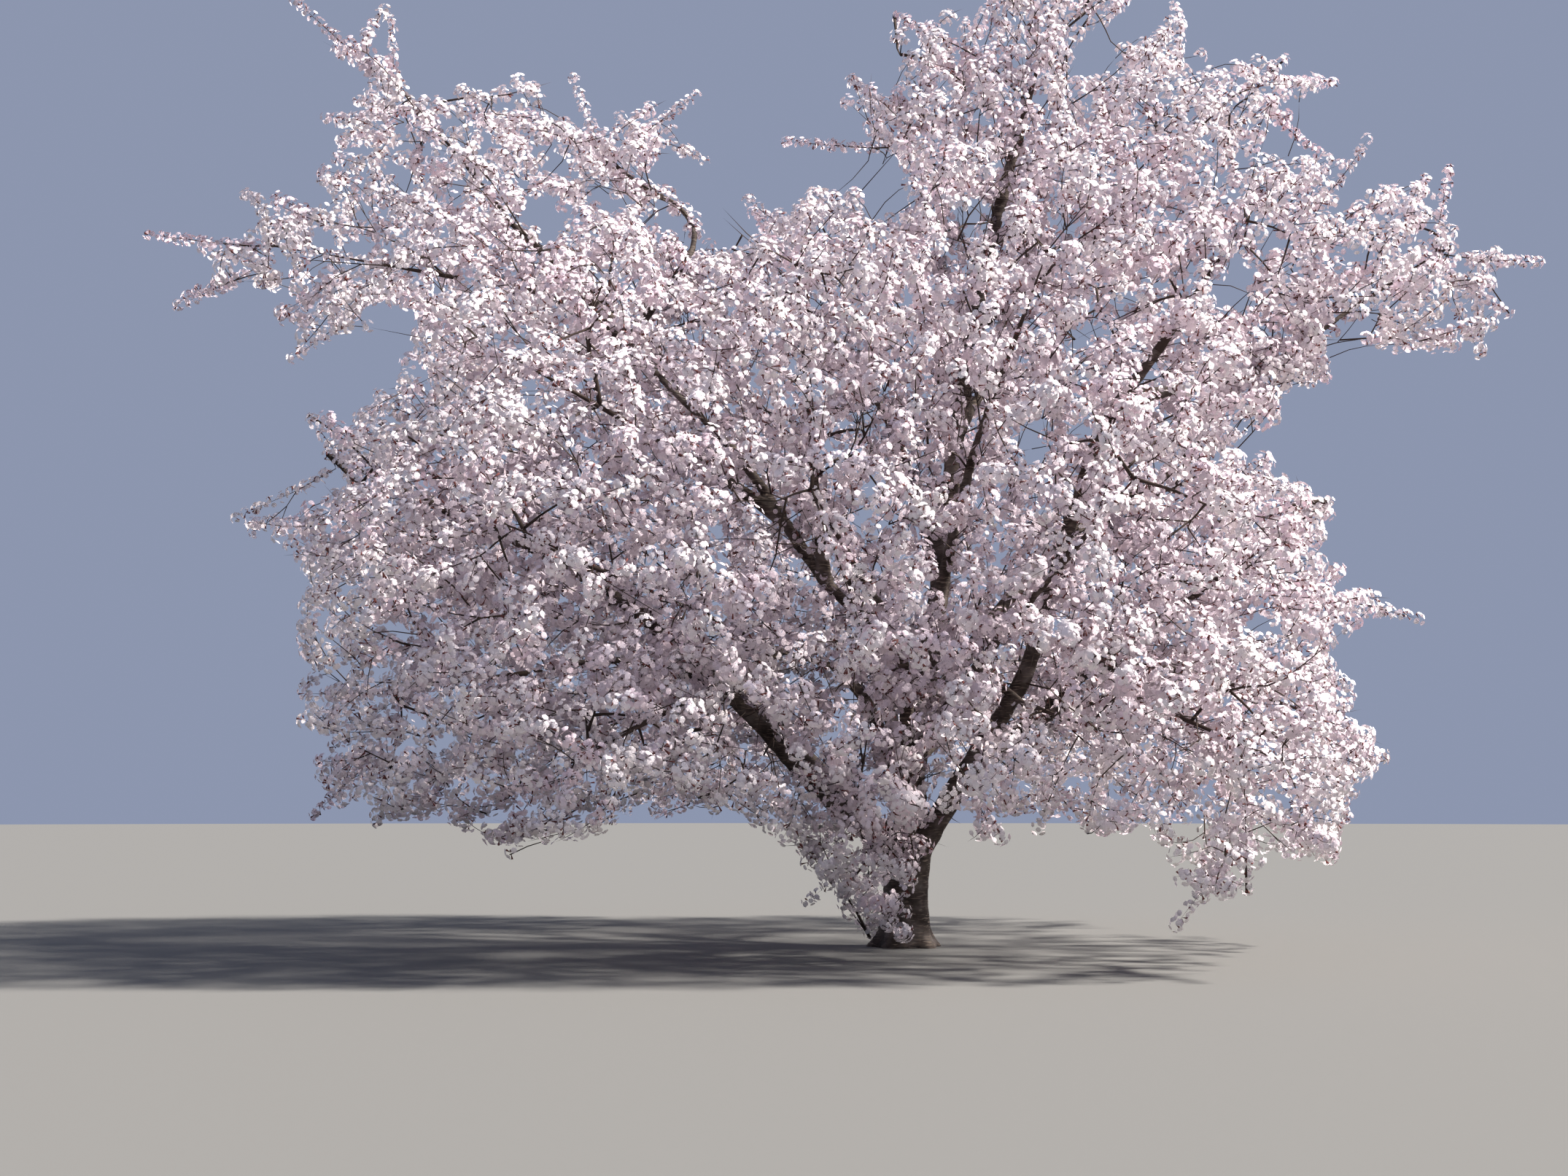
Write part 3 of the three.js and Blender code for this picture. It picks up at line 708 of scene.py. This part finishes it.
def grow(index, goals, wanted):
    """Stem, tips and even shoots by the source's rule, then many finer twigs."""
    mass = Mass(index)
    mass.add(stem_line(mass), -1, 0.4, tip=True)
    waver = np.random.default_rng(4000 + index)
    draw = seeded_random(1000 + index)
    if not mass.row.airy:
        for _ in range(CORE_DRAWS):
            draw()
    late = grow_tips(mass)
    grow_shoots(mass, draw, waver)
    if mass.limb:
        count = max(2, round(mass.limb.length * (1 - SLEEVE_FROM) / TWIG_NODE_STEP))
        for share in np.linspace(SLEEVE_FROM, 0.97, count):
            mass.place(mass.limb.at(share), mass.limb.direction(share), 0)
    grow_fine(mass, goals, wanted * (1 - LATE_TWIGS), np.random.default_rng(2000 + index))
    for tip in late:
        mass.reach_tip(tip)
    grow_fine(mass, goals, wanted * LATE_TWIGS, np.random.default_rng(5000 + index))
    return mass


def make_fans():
    random = np.random.default_rng(41)
    ways = units(random.normal(size=(FAN_WAVES, 3)))
    ways = ways * random.uniform(0.75, 1.25, (FAN_WAVES, 1)) * 2 * math.pi
    return ways / (FAN_WIDTH, FAN_WIDTH, FAN_HEIGHT), random.uniform(0, 2 * math.pi, FAN_WAVES)


FAN_TURNS, FAN_STARTS = make_fans()


def fans(points):
    """A random swell through the crown, high in level fans of twigs."""
    return np.cos(points @ FAN_TURNS.T + FAN_STARTS).sum(axis=1) * math.sqrt(2 / FAN_WAVES)


def all_goals():
    """Each mass's places to grow to, gathered in level fans, and its share of the twigs."""
    random = np.random.default_rng(77)
    low = (CENTRES - REACHES * GOAL_BOX).min(axis=0)
    high = (CENTRES + REACHES * GOAL_BOX).max(axis=0)
    low[1:] = SOLID_BOX[0][1] - PAST_SOLIDS, LOWEST_TWIG
    high[1] = SOLID_BOX[1][1] + PAST_SOLIDS
    points = random.uniform(low, high, (GOALS, 3))
    shares = reach_shares(points)
    melted = np.exp(FILL_SOFTNESS * (1 - shares**2)).sum(axis=1)
    edge = np.where(random.uniform(size=GOALS) < FINGER_SHARE, FINGER_EDGE, 1)
    keep = (melted > edge) & (fans(points) > FAN_LEAST)
    keep &= ~against_sky(points, random, 12)
    points, nearest = points[keep], shares[keep].argmin(axis=1)
    goals = []
    for index, one in enumerate(CROWN):
        own = points[nearest == index]
        limb = LIMBS.get(one.name)
        if limb:
            count = int(SLEEVE_GOALS * limb.length)
            share = random.uniform(SLEEVE_FROM, 1, count)
            size = SLEEVE_RADII[0] + (SLEEVE_RADII[1] - SLEEVE_RADII[0]) * share
            loose = units(random.normal(size=(count, 3))) * (size * random.uniform(0.5, 1, count))[:, None]
            own = np.concatenate([own, limb.all_at(share) + loose])
        goals.append(own[own[:, 2] > LOWEST_TWIG])
    wanted = np.array([len(own) * one.fill for own, one in zip(goals, CROWN)])
    return goals, TWIG_METRES * wanted / wanted.sum()


def grow_fine(mass, goals, wanted, random):
    """Fine twigs, each from the best place towards the emptiest of a few goals."""
    spots = mass.spots[: mass.count]
    empty = np.concatenate([norm(part[:, None] - spots, axis=2).min(axis=1)
                            for part in np.array_split(goals, 8)])
    grown = tries = 0
    longer = OPEN_LONGER if mass.row.airy else 1
    far = TWIG_FAR * longer
    lift = np.clip((mass.row.centre[2] - 3.0) / 6.0, -0.5, 1)
    while grown < wanted and tries < TWIG_TRIES:
        tries += 1
        some = random.integers(0, len(goals), GOAL_CHOICES)
        chosen = some[np.argmax(np.where(empty[some] < far, empty[some], 0))]
        if empty[chosen] < GOAL_REACHED:
            continue
        goal = goals[chosen]
        best, distance = mass.best_place(goal, TWIG_LENGTHS[0], OUTWARD)
        empty_before, empty[chosen] = empty[chosen], 0.0
        if distance > far * 1.3:
            continue
        place = mass.spots[best]
        length = min(distance, random.uniform(0.7, 1) * TWIG_LENGTHS[1] * longer)
        end = place + (goal - place) * (length / distance)
        bend = place + mass.ways[best] * length * 0.18 + (end - place) * 0.36 + UP * length * 0.1 * lift
        curve = BentCurve(place, bend, end)
        line = curve.all_at((0, 0.35, 0.7, 1))
        if not clear_of_limbs(line[2:], 0).all() or against_sky(line[2:], random, -4).any():
            continue
        if length < distance:
            empty[chosen] = min(empty_before, distance - length)
        mass.add(line, mass.owner[best], 0.12)
        empty = np.minimum(empty, norm(goals[:, None] - line[1:], axis=2).min(axis=1))
        grown += length


def many(spots, faces):
    """Vertices and faces of groups of points that all have the same faces."""
    base = np.arange(len(spots)) * spots.shape[1]
    return spots.reshape(-1, 3), (base[:, None, None] + np.array(faces)).reshape(-1, 3)


def prisms(lines, radii, tips, sides):
    """Closed tapering bars along many lines with the same number of points."""
    twigs, rings, _ = lines.shape
    share = np.linspace(0, 1, rings)[None, :, None]
    radius = radii[:, None, None] * (1 - share) + tips[:, None, None] * share
    angles = np.arange(sides) * 2 * math.pi / sides
    ring = ways_round(*crossways(units(np.gradient(lines, axis=1))), angles)
    spots = (lines[:, :, None, :] + ring * radius[..., None])[:, :-1].reshape(twigs, -1, 3)
    spots = np.concatenate([spots, lines[:, -1:, :]], axis=1)
    body = rings - 1
    faces = []
    for r in range(body - 1):
        for k in range(sides):
            a, b = r * sides + k, r * sides + (k + 1) % sides
            faces += [(a, b, b + sides), (a, b + sides, a + sides)]
    last, tip = (body - 1) * sides, body * sides
    faces += [(last + k, last + (k + 1) % sides, tip) for k in range(sides)]
    faces += [(0, k + 1, k) for k in range(1, sides - 1)]
    return many(spots, faces)


def mass_twigs(mass):
    """Bars for all twigs that lead to flowers, as thick as their load needs."""
    loads = np.array([twig.length for twig in mass.twigs])
    for number in range(len(mass.twigs) - 1, 0, -1):
        loads[mass.twigs[number].parent] += loads[number]
    radii = TWIG_RADIUS + TWIG_THICKENING * np.sqrt(loads)
    if mass.limb:
        radii[0] = mass.limb.width(1)
    by_count = defaultdict(list)
    for number, twig in enumerate(mass.twigs):
        if mass.live[number]:
            by_count[len(twig.line)].append(number)
    bars = []
    for numbers in by_count.values():
        lines = np.array([mass.twigs[number].line for number in numbers])
        thick = radii[numbers]
        bars.append(prisms(lines, thick, np.minimum(thick * TWIG_TAPER, TWIG_TIP), 6 if 0 in numbers else 3))
    return bars


def bunch_places(mass, random):
    """Bunches along the twigs and boughs: their middles, ways, sizes and tints."""
    found = []
    for number, twig in enumerate(mass.twigs):
        ways = np.diff(twig.line, axis=0)
        steps = norm(ways, axis=1)
        reach = np.concatenate([[0], np.cumsum(steps)])
        flowering = reach[-1] - twig.bare * reach[-1]
        step, (least, most) = (TIP_STEP, TIP_RADII) if twig.tip else (BUNCH_STEP, BUNCH_RADII)
        count = max(1, round(flowering / step))
        along = reach[-1] - (np.arange(count) + random.uniform(0, 0.6, count)) * flowering / count
        piece = np.clip(np.searchsorted(reach, along) - 1, 0, len(steps) - 1)
        share = (along - reach[piece]) / steps[piece]
        tint = random.choice(len(TINTS), p=TINT_SHARES)
        taper = 1.25 - 0.75 * along / reach[-1]
        found.append((twig.line[piece] + ways[piece] * share[:, None], ways[piece] / steps[piece][:, None],
                      least + (most - least) * random.uniform(0.2, 1, count) * taper,
                      np.full(count, tint), np.full(count, twig.tip), np.full(count, number)))
    limb = mass.limb
    if limb:
        spurs_from = SPURS_FROM[mass.row.start != "trunk"]
        count = int(limb.length * (1 - spurs_from) / SPUR_STEP)
        share = random.uniform(spurs_from, 1, count)
        out = units(random.normal(size=(count, 3)))
        size = random.uniform(*TIP_RADII, count)
        width = np.array([limb.width(part) for part in share])
        found.append((limb.all_at(share) + out * (width + SPUR_LENGTH * size)[:, None], out, size,
                      random.choice(len(TINTS), count, p=TINT_SHARES), np.full(count, True),
                      np.zeros(count, int)))
    middles, ways, sizes, tints, tips, numbers = (np.concatenate(some) for some in zip(*found))
    keep = (tips | (fans(middles) > FAN_BARE)) & ~hides_limb(middles)
    keep &= tips | ~against_sky(middles, random, 6)
    mass.live = np.zeros(len(mass.twigs), bool)
    mass.live[numbers[keep]] = True
    mass.live[0] = True
    for number in range(len(mass.twigs) - 1, 0, -1):
        mass.live[mass.twigs[number].parent] |= mass.live[number]
    return middles[keep], ways[keep], sizes[keep], tints[keep]


def cell_counts(middles, size, border):
    """How many bunches stand in each cell of a grid, and each bunch's cell."""
    cells = ((middles - middles.min(axis=0)) / size).astype(int) + border
    count = np.zeros(cells.max(axis=0) + 1 + border)
    np.add.at(count, tuple(cells.T), 1)
    return count, tuple(cells.T)


def bunch_depths(middles):
    """How many bunches stand over each one, from whichever of six sides has the fewest."""
    count, cells = cell_counts(middles, DEPTH_CELL, 0)
    depth = np.full(count.shape, np.inf)
    for axis in range(3):
        before = np.cumsum(count, axis) - count
        after = count.sum(axis=axis, keepdims=True) - before - count
        depth = np.minimum(depth, np.minimum(before, after))
    return depth[cells]


def open_ways(middles, size):
    """The way out of the thick of the bunches, long at the side of a puff."""
    count, cells = cell_counts(middles, size, 3)
    for axis in (0, 1, 2, 0, 1, 2):
        count = (np.roll(count, 1, axis) + 2 * count + np.roll(count, -1, axis)) / 4
    slopes = -np.stack(np.gradient(count), axis=3)[cells]
    steep = norm(slopes, axis=1, keepdims=True)
    return slopes / (steep + np.median(steep) * 0.4)


def flower_aims(middles, sizes, level, random):
    """Which bunch each flower belongs to, and its way out from the bunch's middle."""
    counts = FLOWERS_PER_SQUARE * sizes**2 * INNER_FLOWERS[level]
    counts = np.maximum(np.where(level > 0, INNER_FEWEST, FEWEST_FLOWERS), np.round(counts)).astype(int)
    which = np.repeat(np.arange(len(middles)), counts)
    number = np.arange(len(which)) - np.repeat(np.cumsum(counts) - counts, counts)
    height = 1 - (2 * number + 1) / counts[which]
    bearing = number * GOLDEN_ANGLE + random.uniform(0, 2 * math.pi, len(middles))[which]
    flat = np.sqrt(1 - height**2)
    aim = np.stack([flat * np.cos(bearing), flat * np.sin(bearing), height], axis=1)
    aim = units(aim + FLOWER_SCATTER * random.normal(size=aim.shape))
    out = units(middles - UP * FORK_HEIGHT - middles * (0, 0, LEVELLING))
    shown = random.uniform(size=len(which)) < 1 + INWARD_FEWER * (aim * out[which]).sum(axis=1)
    return which[shown], aim[shown]


def flowers(middles, sizes, tints, level, puff, random):
    """Open flowers all round each bunch: faces, tints, and normals that light them as thin petals."""
    which, aim = flower_aims(middles, sizes, level, random)
    centre = middles[which] + aim * (sizes[which] * random.uniform(*FLOWER_SHELL, len(which)))[:, None]
    face = aim + FACE_PUFF * puff[which] + LIGHT_SEEKING * UP
    face = units(face + FACE_SCATTER * random.normal(size=aim.shape))
    radius = random.uniform(*FLOWER_RADII, len(which)) * INNER_SIZE[level][which]
    cup = random.uniform(*FLOWER_CUPS, len(which)) * radius
    spin = random.uniform(0, 2 * math.pi, len(which))
    angles = np.repeat(np.arange(PETALS) * 2 * math.pi / PETALS, 2)
    angles = spin[:, None] + angles + np.tile([-PETAL_HALF, PETAL_HALF], PETALS)
    rim = ways_round(*crossways(face), angles) * radius[:, None, None]
    rim = centre[:, None] + rim + (face * cup[:, None])[:, None]
    spots = np.concatenate([centre[:, None], rim], axis=1)
    petals = many(spots, [(0, 1 + 2 * k, 2 + 2 * k) for k in range(PETALS)])
    ways = (aim, puff[which], face, random.normal(size=aim.shape))
    soft = units(sum(share * way for share, way in zip(SOFT_SHARES, ways)))[:, None]
    own = units(rim.reshape(len(which), PETALS, 2, 3).mean(axis=2) - centre[:, None])
    own = units(soft + PETAL_SHARES[0] * own + PETAL_SHARES[1] * random.normal(size=own.shape))
    soft = np.concatenate([soft, np.repeat(own, 2, axis=1)], axis=1)
    return petals, np.repeat(tints[which], PETALS), soft.reshape(-1, 3)


def calyxes(middles, ways, sizes, random):
    """Slim four-faced cups and buds, which show between the petals."""
    counts = random.poisson(CALYX_SHARE, len(middles))
    middles, ways = np.repeat(middles, counts, axis=0), np.repeat(ways, counts, axis=0)
    aim = units(random.normal(size=middles.shape) + 0.4 * ways)
    length = np.repeat(sizes, counts)[:, None] * random.uniform(*CALYX_REACHES, (len(middles), 1))
    angles = np.arange(CALYX_SIDES) * 2 * math.pi / CALYX_SIDES
    rim = (middles + aim * length)[:, None] + ways_round(*crossways(aim), angles) * CALYX_RADIUS
    return many(np.concatenate([middles[:, None], rim], axis=1), [(0, 2, 1), (0, 3, 2), (0, 1, 3), (1, 2, 3)])


def set_inputs(node, values):
    for name, value in values.items():
        node.inputs[name].default_value = value


def new_material(name, values):
    """A material with some inputs of its shader set, its tree and its shader."""
    material = bpy.data.materials.new(name)
    material.use_nodes = True
    shader = material.node_tree.nodes["Principled BSDF"]
    set_inputs(shader, values)
    return material, material.node_tree, shader


def plain_material(name, colour, roughness):
    values = {"Base Color": (*colour, 1), "Roughness": roughness, "Specular IOR Level": 0.1}
    return new_material(name, values)[0]


def add_object(name, data):
    made = bpy.data.objects.new(name, data)
    bpy.context.scene.collection.objects.link(made)
    return made


def joined_mesh(name, parts, materials):
    """One mesh from pairs of vertices and triangles."""
    shifts = np.cumsum([0] + [len(spots) for spots, _ in parts])
    spots = np.concatenate([spots for spots, _ in parts])
    faces = np.concatenate([faces + shift for (_, faces), shift in zip(parts, shifts)])
    mesh = bpy.data.meshes.new(name)
    mesh.vertices.add(len(spots))
    mesh.vertices.foreach_set("co", spots.astype(np.float32).ravel())
    mesh.loops.add(faces.size)
    mesh.loops.foreach_set("vertex_index", faces.astype(np.int32).ravel())
    mesh.polygons.add(len(faces))
    mesh.polygons.foreach_set("loop_start", np.arange(0, faces.size, 3, dtype=np.int32))
    for material in materials:
        mesh.materials.append(material)
    mesh.update(calc_edges=True)
    return add_object(name, mesh)


def dress_crown():
    """Petals, twigs and calyxes of all masses, joined by region and by kind."""
    materials = {
        "petals": [plain_material(name, colour, 0.6) for name, colour in TINTS.items()],
        "twigs": [plain_material("twig_bark", (0.055, 0.040, 0.034), 0.85)],
        "calyxes": [plain_material("calyx_red", (0.16, 0.055, 0.05), 0.6)],
    }
    goals, wanted = all_goals()
    masses = [grow(index, goals[index], wanted[index]) for index in range(len(CROWN))]
    randoms = [np.random.default_rng(3000 + index) for index in range(len(CROWN))]
    bunches = [bunch_places(mass, random) for mass, random in zip(masses, randoms)]
    all_middles = np.concatenate([middles for middles, *_ in bunches])
    ends = np.cumsum([len(middles) for middles, *_ in bunches])[:-1]
    depths = np.split(bunch_depths(all_middles), ends)
    puffs = np.split(sum(PUFF_SHARE * open_ways(all_middles, size) for size in PUFF_CELLS), ends)
    regions = defaultdict(lambda: defaultdict(list))
    for mass, random, bunch, depth, puff in zip(masses, randoms, bunches, depths, puffs):
        made = regions[mass.row.region]
        made["nodes"].append("blossom_" + mass.row.name)
        made["twigs"] += mass_twigs(mass)
        level = np.digitize(depth, INNER_DEPTHS, right=True)
        keep = random.uniform(size=len(level)) < INNER_KEEP[level]
        middles, ways, sizes, tints, level, puff = (part[keep] for part in (*bunch, level, puff))
        # Bunches in the depth of the crown take the darker tint: painted shade where the crown shades itself.
        tints[level > 0] = PAINTED_SHADE_TINT
        petals = flowers(middles, sizes, tints, level, puff, random)
        for kind, some in zip(("petals", "tints", "soft"), petals):
            made[kind].append(some)
        made["calyxes"].append(calyxes(middles, ways, sizes, random))
    for region, made in regions.items():
        for kind, some in materials.items():
            piece = joined_mesh(kind + "_" + region, made[kind], some)
            if kind == "petals":
                tints = np.concatenate(made["tints"]).astype(np.int32)
                piece.data.polygons.foreach_set("material_index", tints)
                piece.data.shade_smooth()
                piece.data.normals_split_custom_set_from_vertices(np.concatenate(made["soft"]))
            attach(piece, "root")
            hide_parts(*made["nodes"])


dress_crown()


# Trunk and boughs

def turn_selected(old, new, centre):
    """Turns what is selected from one direction to another about centre."""
    turn = Vector(old).rotation_difference(Vector(new))
    axis, angle = turn.to_axis_angle()
    if abs(angle) < 1e-4:
        return
    side = axis.orthogonal().normalized()
    matrix = (tuple(side), tuple(axis.cross(side)), tuple(axis))
    bpy.ops.transform.rotate(value=-angle, orient_axis="Z", orient_type="GLOBAL", orient_matrix=matrix,
                             orient_matrix_type="GLOBAL", center_override=tuple(centre))


def ring_limb(centres, ways, radii, sides):
    """A closed limb, extruded ring by ring along its centres."""
    turn = Vector((0, 0, 1)).rotation_difference(Vector(ways[0])).to_euler()
    bpy.ops.mesh.primitive_circle_add(vertices=sides, radius=radii[0], fill_type="NGON",
                                      location=tuple(centres[0]), rotation=turn)
    bpy.ops.object.mode_set(mode="EDIT")
    for k in range(1, len(centres)):
        bpy.ops.mesh.extrude_region_move(TRANSFORM_OT_translate={"value": tuple(centres[k] - centres[k - 1])})
        size = radii[k] / radii[k - 1]
        bpy.ops.transform.resize(value=(size, size, size), center_override=tuple(centres[k]))
        turn_selected(ways[k - 1], ways[k], centres[k])
    bpy.ops.object.mode_set(mode="OBJECT")
    bpy.ops.object.transform_apply()
    return bpy.context.object


def bough_piece(name):
    """A bough with a collar at its root, a little swayed and uneven."""
    limb = LIMBS[name]
    count = max(6, round(limb.length / RING_STEP))
    random = np.random.default_rng(sum((k + 1) * ord(letter) for k, letter in enumerate(name)))
    centres, ways, radii = [], [], []
    for i in range(count + 1):
        share = i / count
        sway = random.normal(size=3) * 0.008 * min(1.0, 6 * share * (1 - share) + 0.05)
        centres.append(limb.at(share) + sway)
        ways.append(limb.direction(share))
        collar = 1 + COLLAR * math.exp(-share * limb.length / COLLAR_LENGTH)
        radii.append(limb.width(share) * collar * random.uniform(0.95, 1.05))
    return ring_limb(centres, ways, radii, BOUGH_SIDES)


def trunk_piece():
    """The trunk, with its foot drawn out into root flares."""
    radii = []
    for share in TRUNK_RINGS:
        flare = ROOT_FLARE * math.exp(-share * TRUNK_TOP / (FLARE_HEIGHT * 0.5))
        radii.append(TRUNK_RADIUS + flare + (FORK_RADIUS - TRUNK_RADIUS) * share**3)
    centres = [trunk_middle(share) for share in TRUNK_RINGS]
    piece = ring_limb(centres, [UP] * len(centres), radii, TRUNK_SIDES)
    for share, out in zip(TRUNK_RINGS, ROOT_SWELLS):
        for vertex in piece.data.vertices:
            angle = math.atan2(vertex.co.y, vertex.co.x)
            bulge = 1 + out * math.cos(ROOT_LOBES * (math.pi / 2 - angle) + 0.6) * 0.5
            if abs(vertex.co.z - share * TRUNK_TOP) < 1e-4:
                vertex.co.x *= bulge
                vertex.co.y *= bulge
    return piece


def add_node(tree, kind, **values):
    node = tree.nodes.new("ShaderNode" + kind)
    set_inputs(node, values)
    return node


def bark_material():
    """Grey-brown bark with pale patches and level bands of pores."""
    material, tree, shader = new_material("cherry_bark", {"Roughness": 0.85, "Specular IOR Level": 0.2})
    place = add_node(tree, "TexCoord")
    patches = add_node(tree, "TexNoise", Scale=5.0, Detail=5.0)
    ramp = add_node(tree, "ValToRGB")
    stops = ramp.color_ramp.elements
    stops[0].position, stops[0].color = 0.35, (0.030, 0.022, 0.018, 1)
    stops[1].position, stops[1].color = 0.72, (0.165, 0.140, 0.125, 1)
    stops.new(0.52).color = (0.075, 0.058, 0.050, 1)
    stretch = add_node(tree, "Mapping", Scale=(9, 9, 70))
    bands = add_node(tree, "TexNoise", Scale=1.0, Detail=3.0)
    bump = add_node(tree, "Bump", Strength=0.6, Distance=0.012)
    band_ramp = add_node(tree, "ValToRGB")
    band_ramp.color_ramp.elements[0].position = 0.55
    band_ramp.color_ramp.elements[1].position = 0.68
    mix = add_node(tree, "Mix")
    mix.data_type = "RGBA"
    set_inputs(mix, {"B": (0.22, 0.175, 0.14, 1)})
    for source, out, target, into in (
        (place, "Object", patches, "Vector"), (place, "Object", stretch, "Vector"),
        (stretch, "Vector", bands, "Vector"), (patches, "Fac", ramp, "Fac"), (bands, "Fac", band_ramp, "Fac"),
        (band_ramp, "Color", mix, "Factor"), (ramp, "Color", mix, "A"), (mix, "Result", shader, "Base Color"),
        (bands, "Fac", bump, "Height"), (bump, "Normal", shader, "Normal"),
    ):
        tree.links.new(source.outputs[out], target.inputs[into])
    return material


def modify(piece, kind, **values):
    """Adds a modifier to the active piece and applies it."""
    made = piece.modifiers.new(kind.lower(), kind)
    for name, value in values.items():
        setattr(made, name, value)
    bpy.ops.object.modifier_apply(modifier=made.name)


def make_wood():
    """Trunk and boughs melted into one skin, with the bark's relief."""
    parts = [trunk_piece()] + [bough_piece(name) for name in LIMBS]
    for part in parts:
        part.select_set(True)
    bpy.context.view_layer.objects.active = parts[0]
    bpy.ops.object.join()
    wood = bpy.context.object
    wood.name = "trunk_and_boughs"
    lumps = bpy.data.textures.new("bark_lumps", "CLOUDS")
    lumps.noise_scale = LUMP_SIZE
    lumps.noise_depth = 3
    modify(wood, "REMESH", mode="VOXEL", voxel_size=SKIN_CELL)
    modify(wood, "SMOOTH", iterations=3)
    modify(wood, "DISPLACE", texture=lumps, texture_coords="LOCAL", strength=LUMP_HEIGHT)
    for vertex in wood.data.vertices:
        if vertex.co.z < GROUND_SNAP:
            vertex.co.z = 0.0
    wood.data.materials.append(bark_material())
    bpy.ops.object.shade_smooth()
    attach(wood, "root")
    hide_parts("trunk", *("bough_" + name for name in LIMBS))


make_wood()


# Floor, light and camera

def make_stage():
    scene = bpy.context.scene
    bpy.ops.mesh.primitive_circle_add(vertices=96, radius=FLOOR_RADIUS, fill_type="NGON")
    floor = bpy.context.object
    floor.name = "floor"
    floor.data.materials.append(plain_material("floor_pale", FLOOR_COLOUR, 0.9))
    scene.world = bpy.data.worlds.new("sky")
    scene.world.use_nodes = True
    set_inputs(scene.world.node_tree.nodes["Background"], {"Color": SKY_COLOUR, "Strength": SKY_STRENGTH})
    sun = bpy.data.lights.new("key", "SUN")
    sun.energy = SUN_STRENGTH
    sun.angle = SUN_SPREAD
    sun.color = SUN_COLOUR
    add_object("key", sun).rotation_euler = Vector(SUN_WAY).to_track_quat("Z", "Y").to_euler()
    lens = bpy.data.cameras.new("camera")
    lens.sensor_width = SENSOR_WIDTH
    lens.lens = FOCAL_PIXELS * SENSOR_WIDTH / FRAME_SIZE[0]
    lens.clip_end = 400
    scene.camera = add_object("camera", lens)
    scene.camera.location = tuple(EYE)
    scene.camera.rotation_euler = (math.pi / 2 + TILT, 0, 0)
    scene.view_settings.view_transform = "Standard"


make_stage()
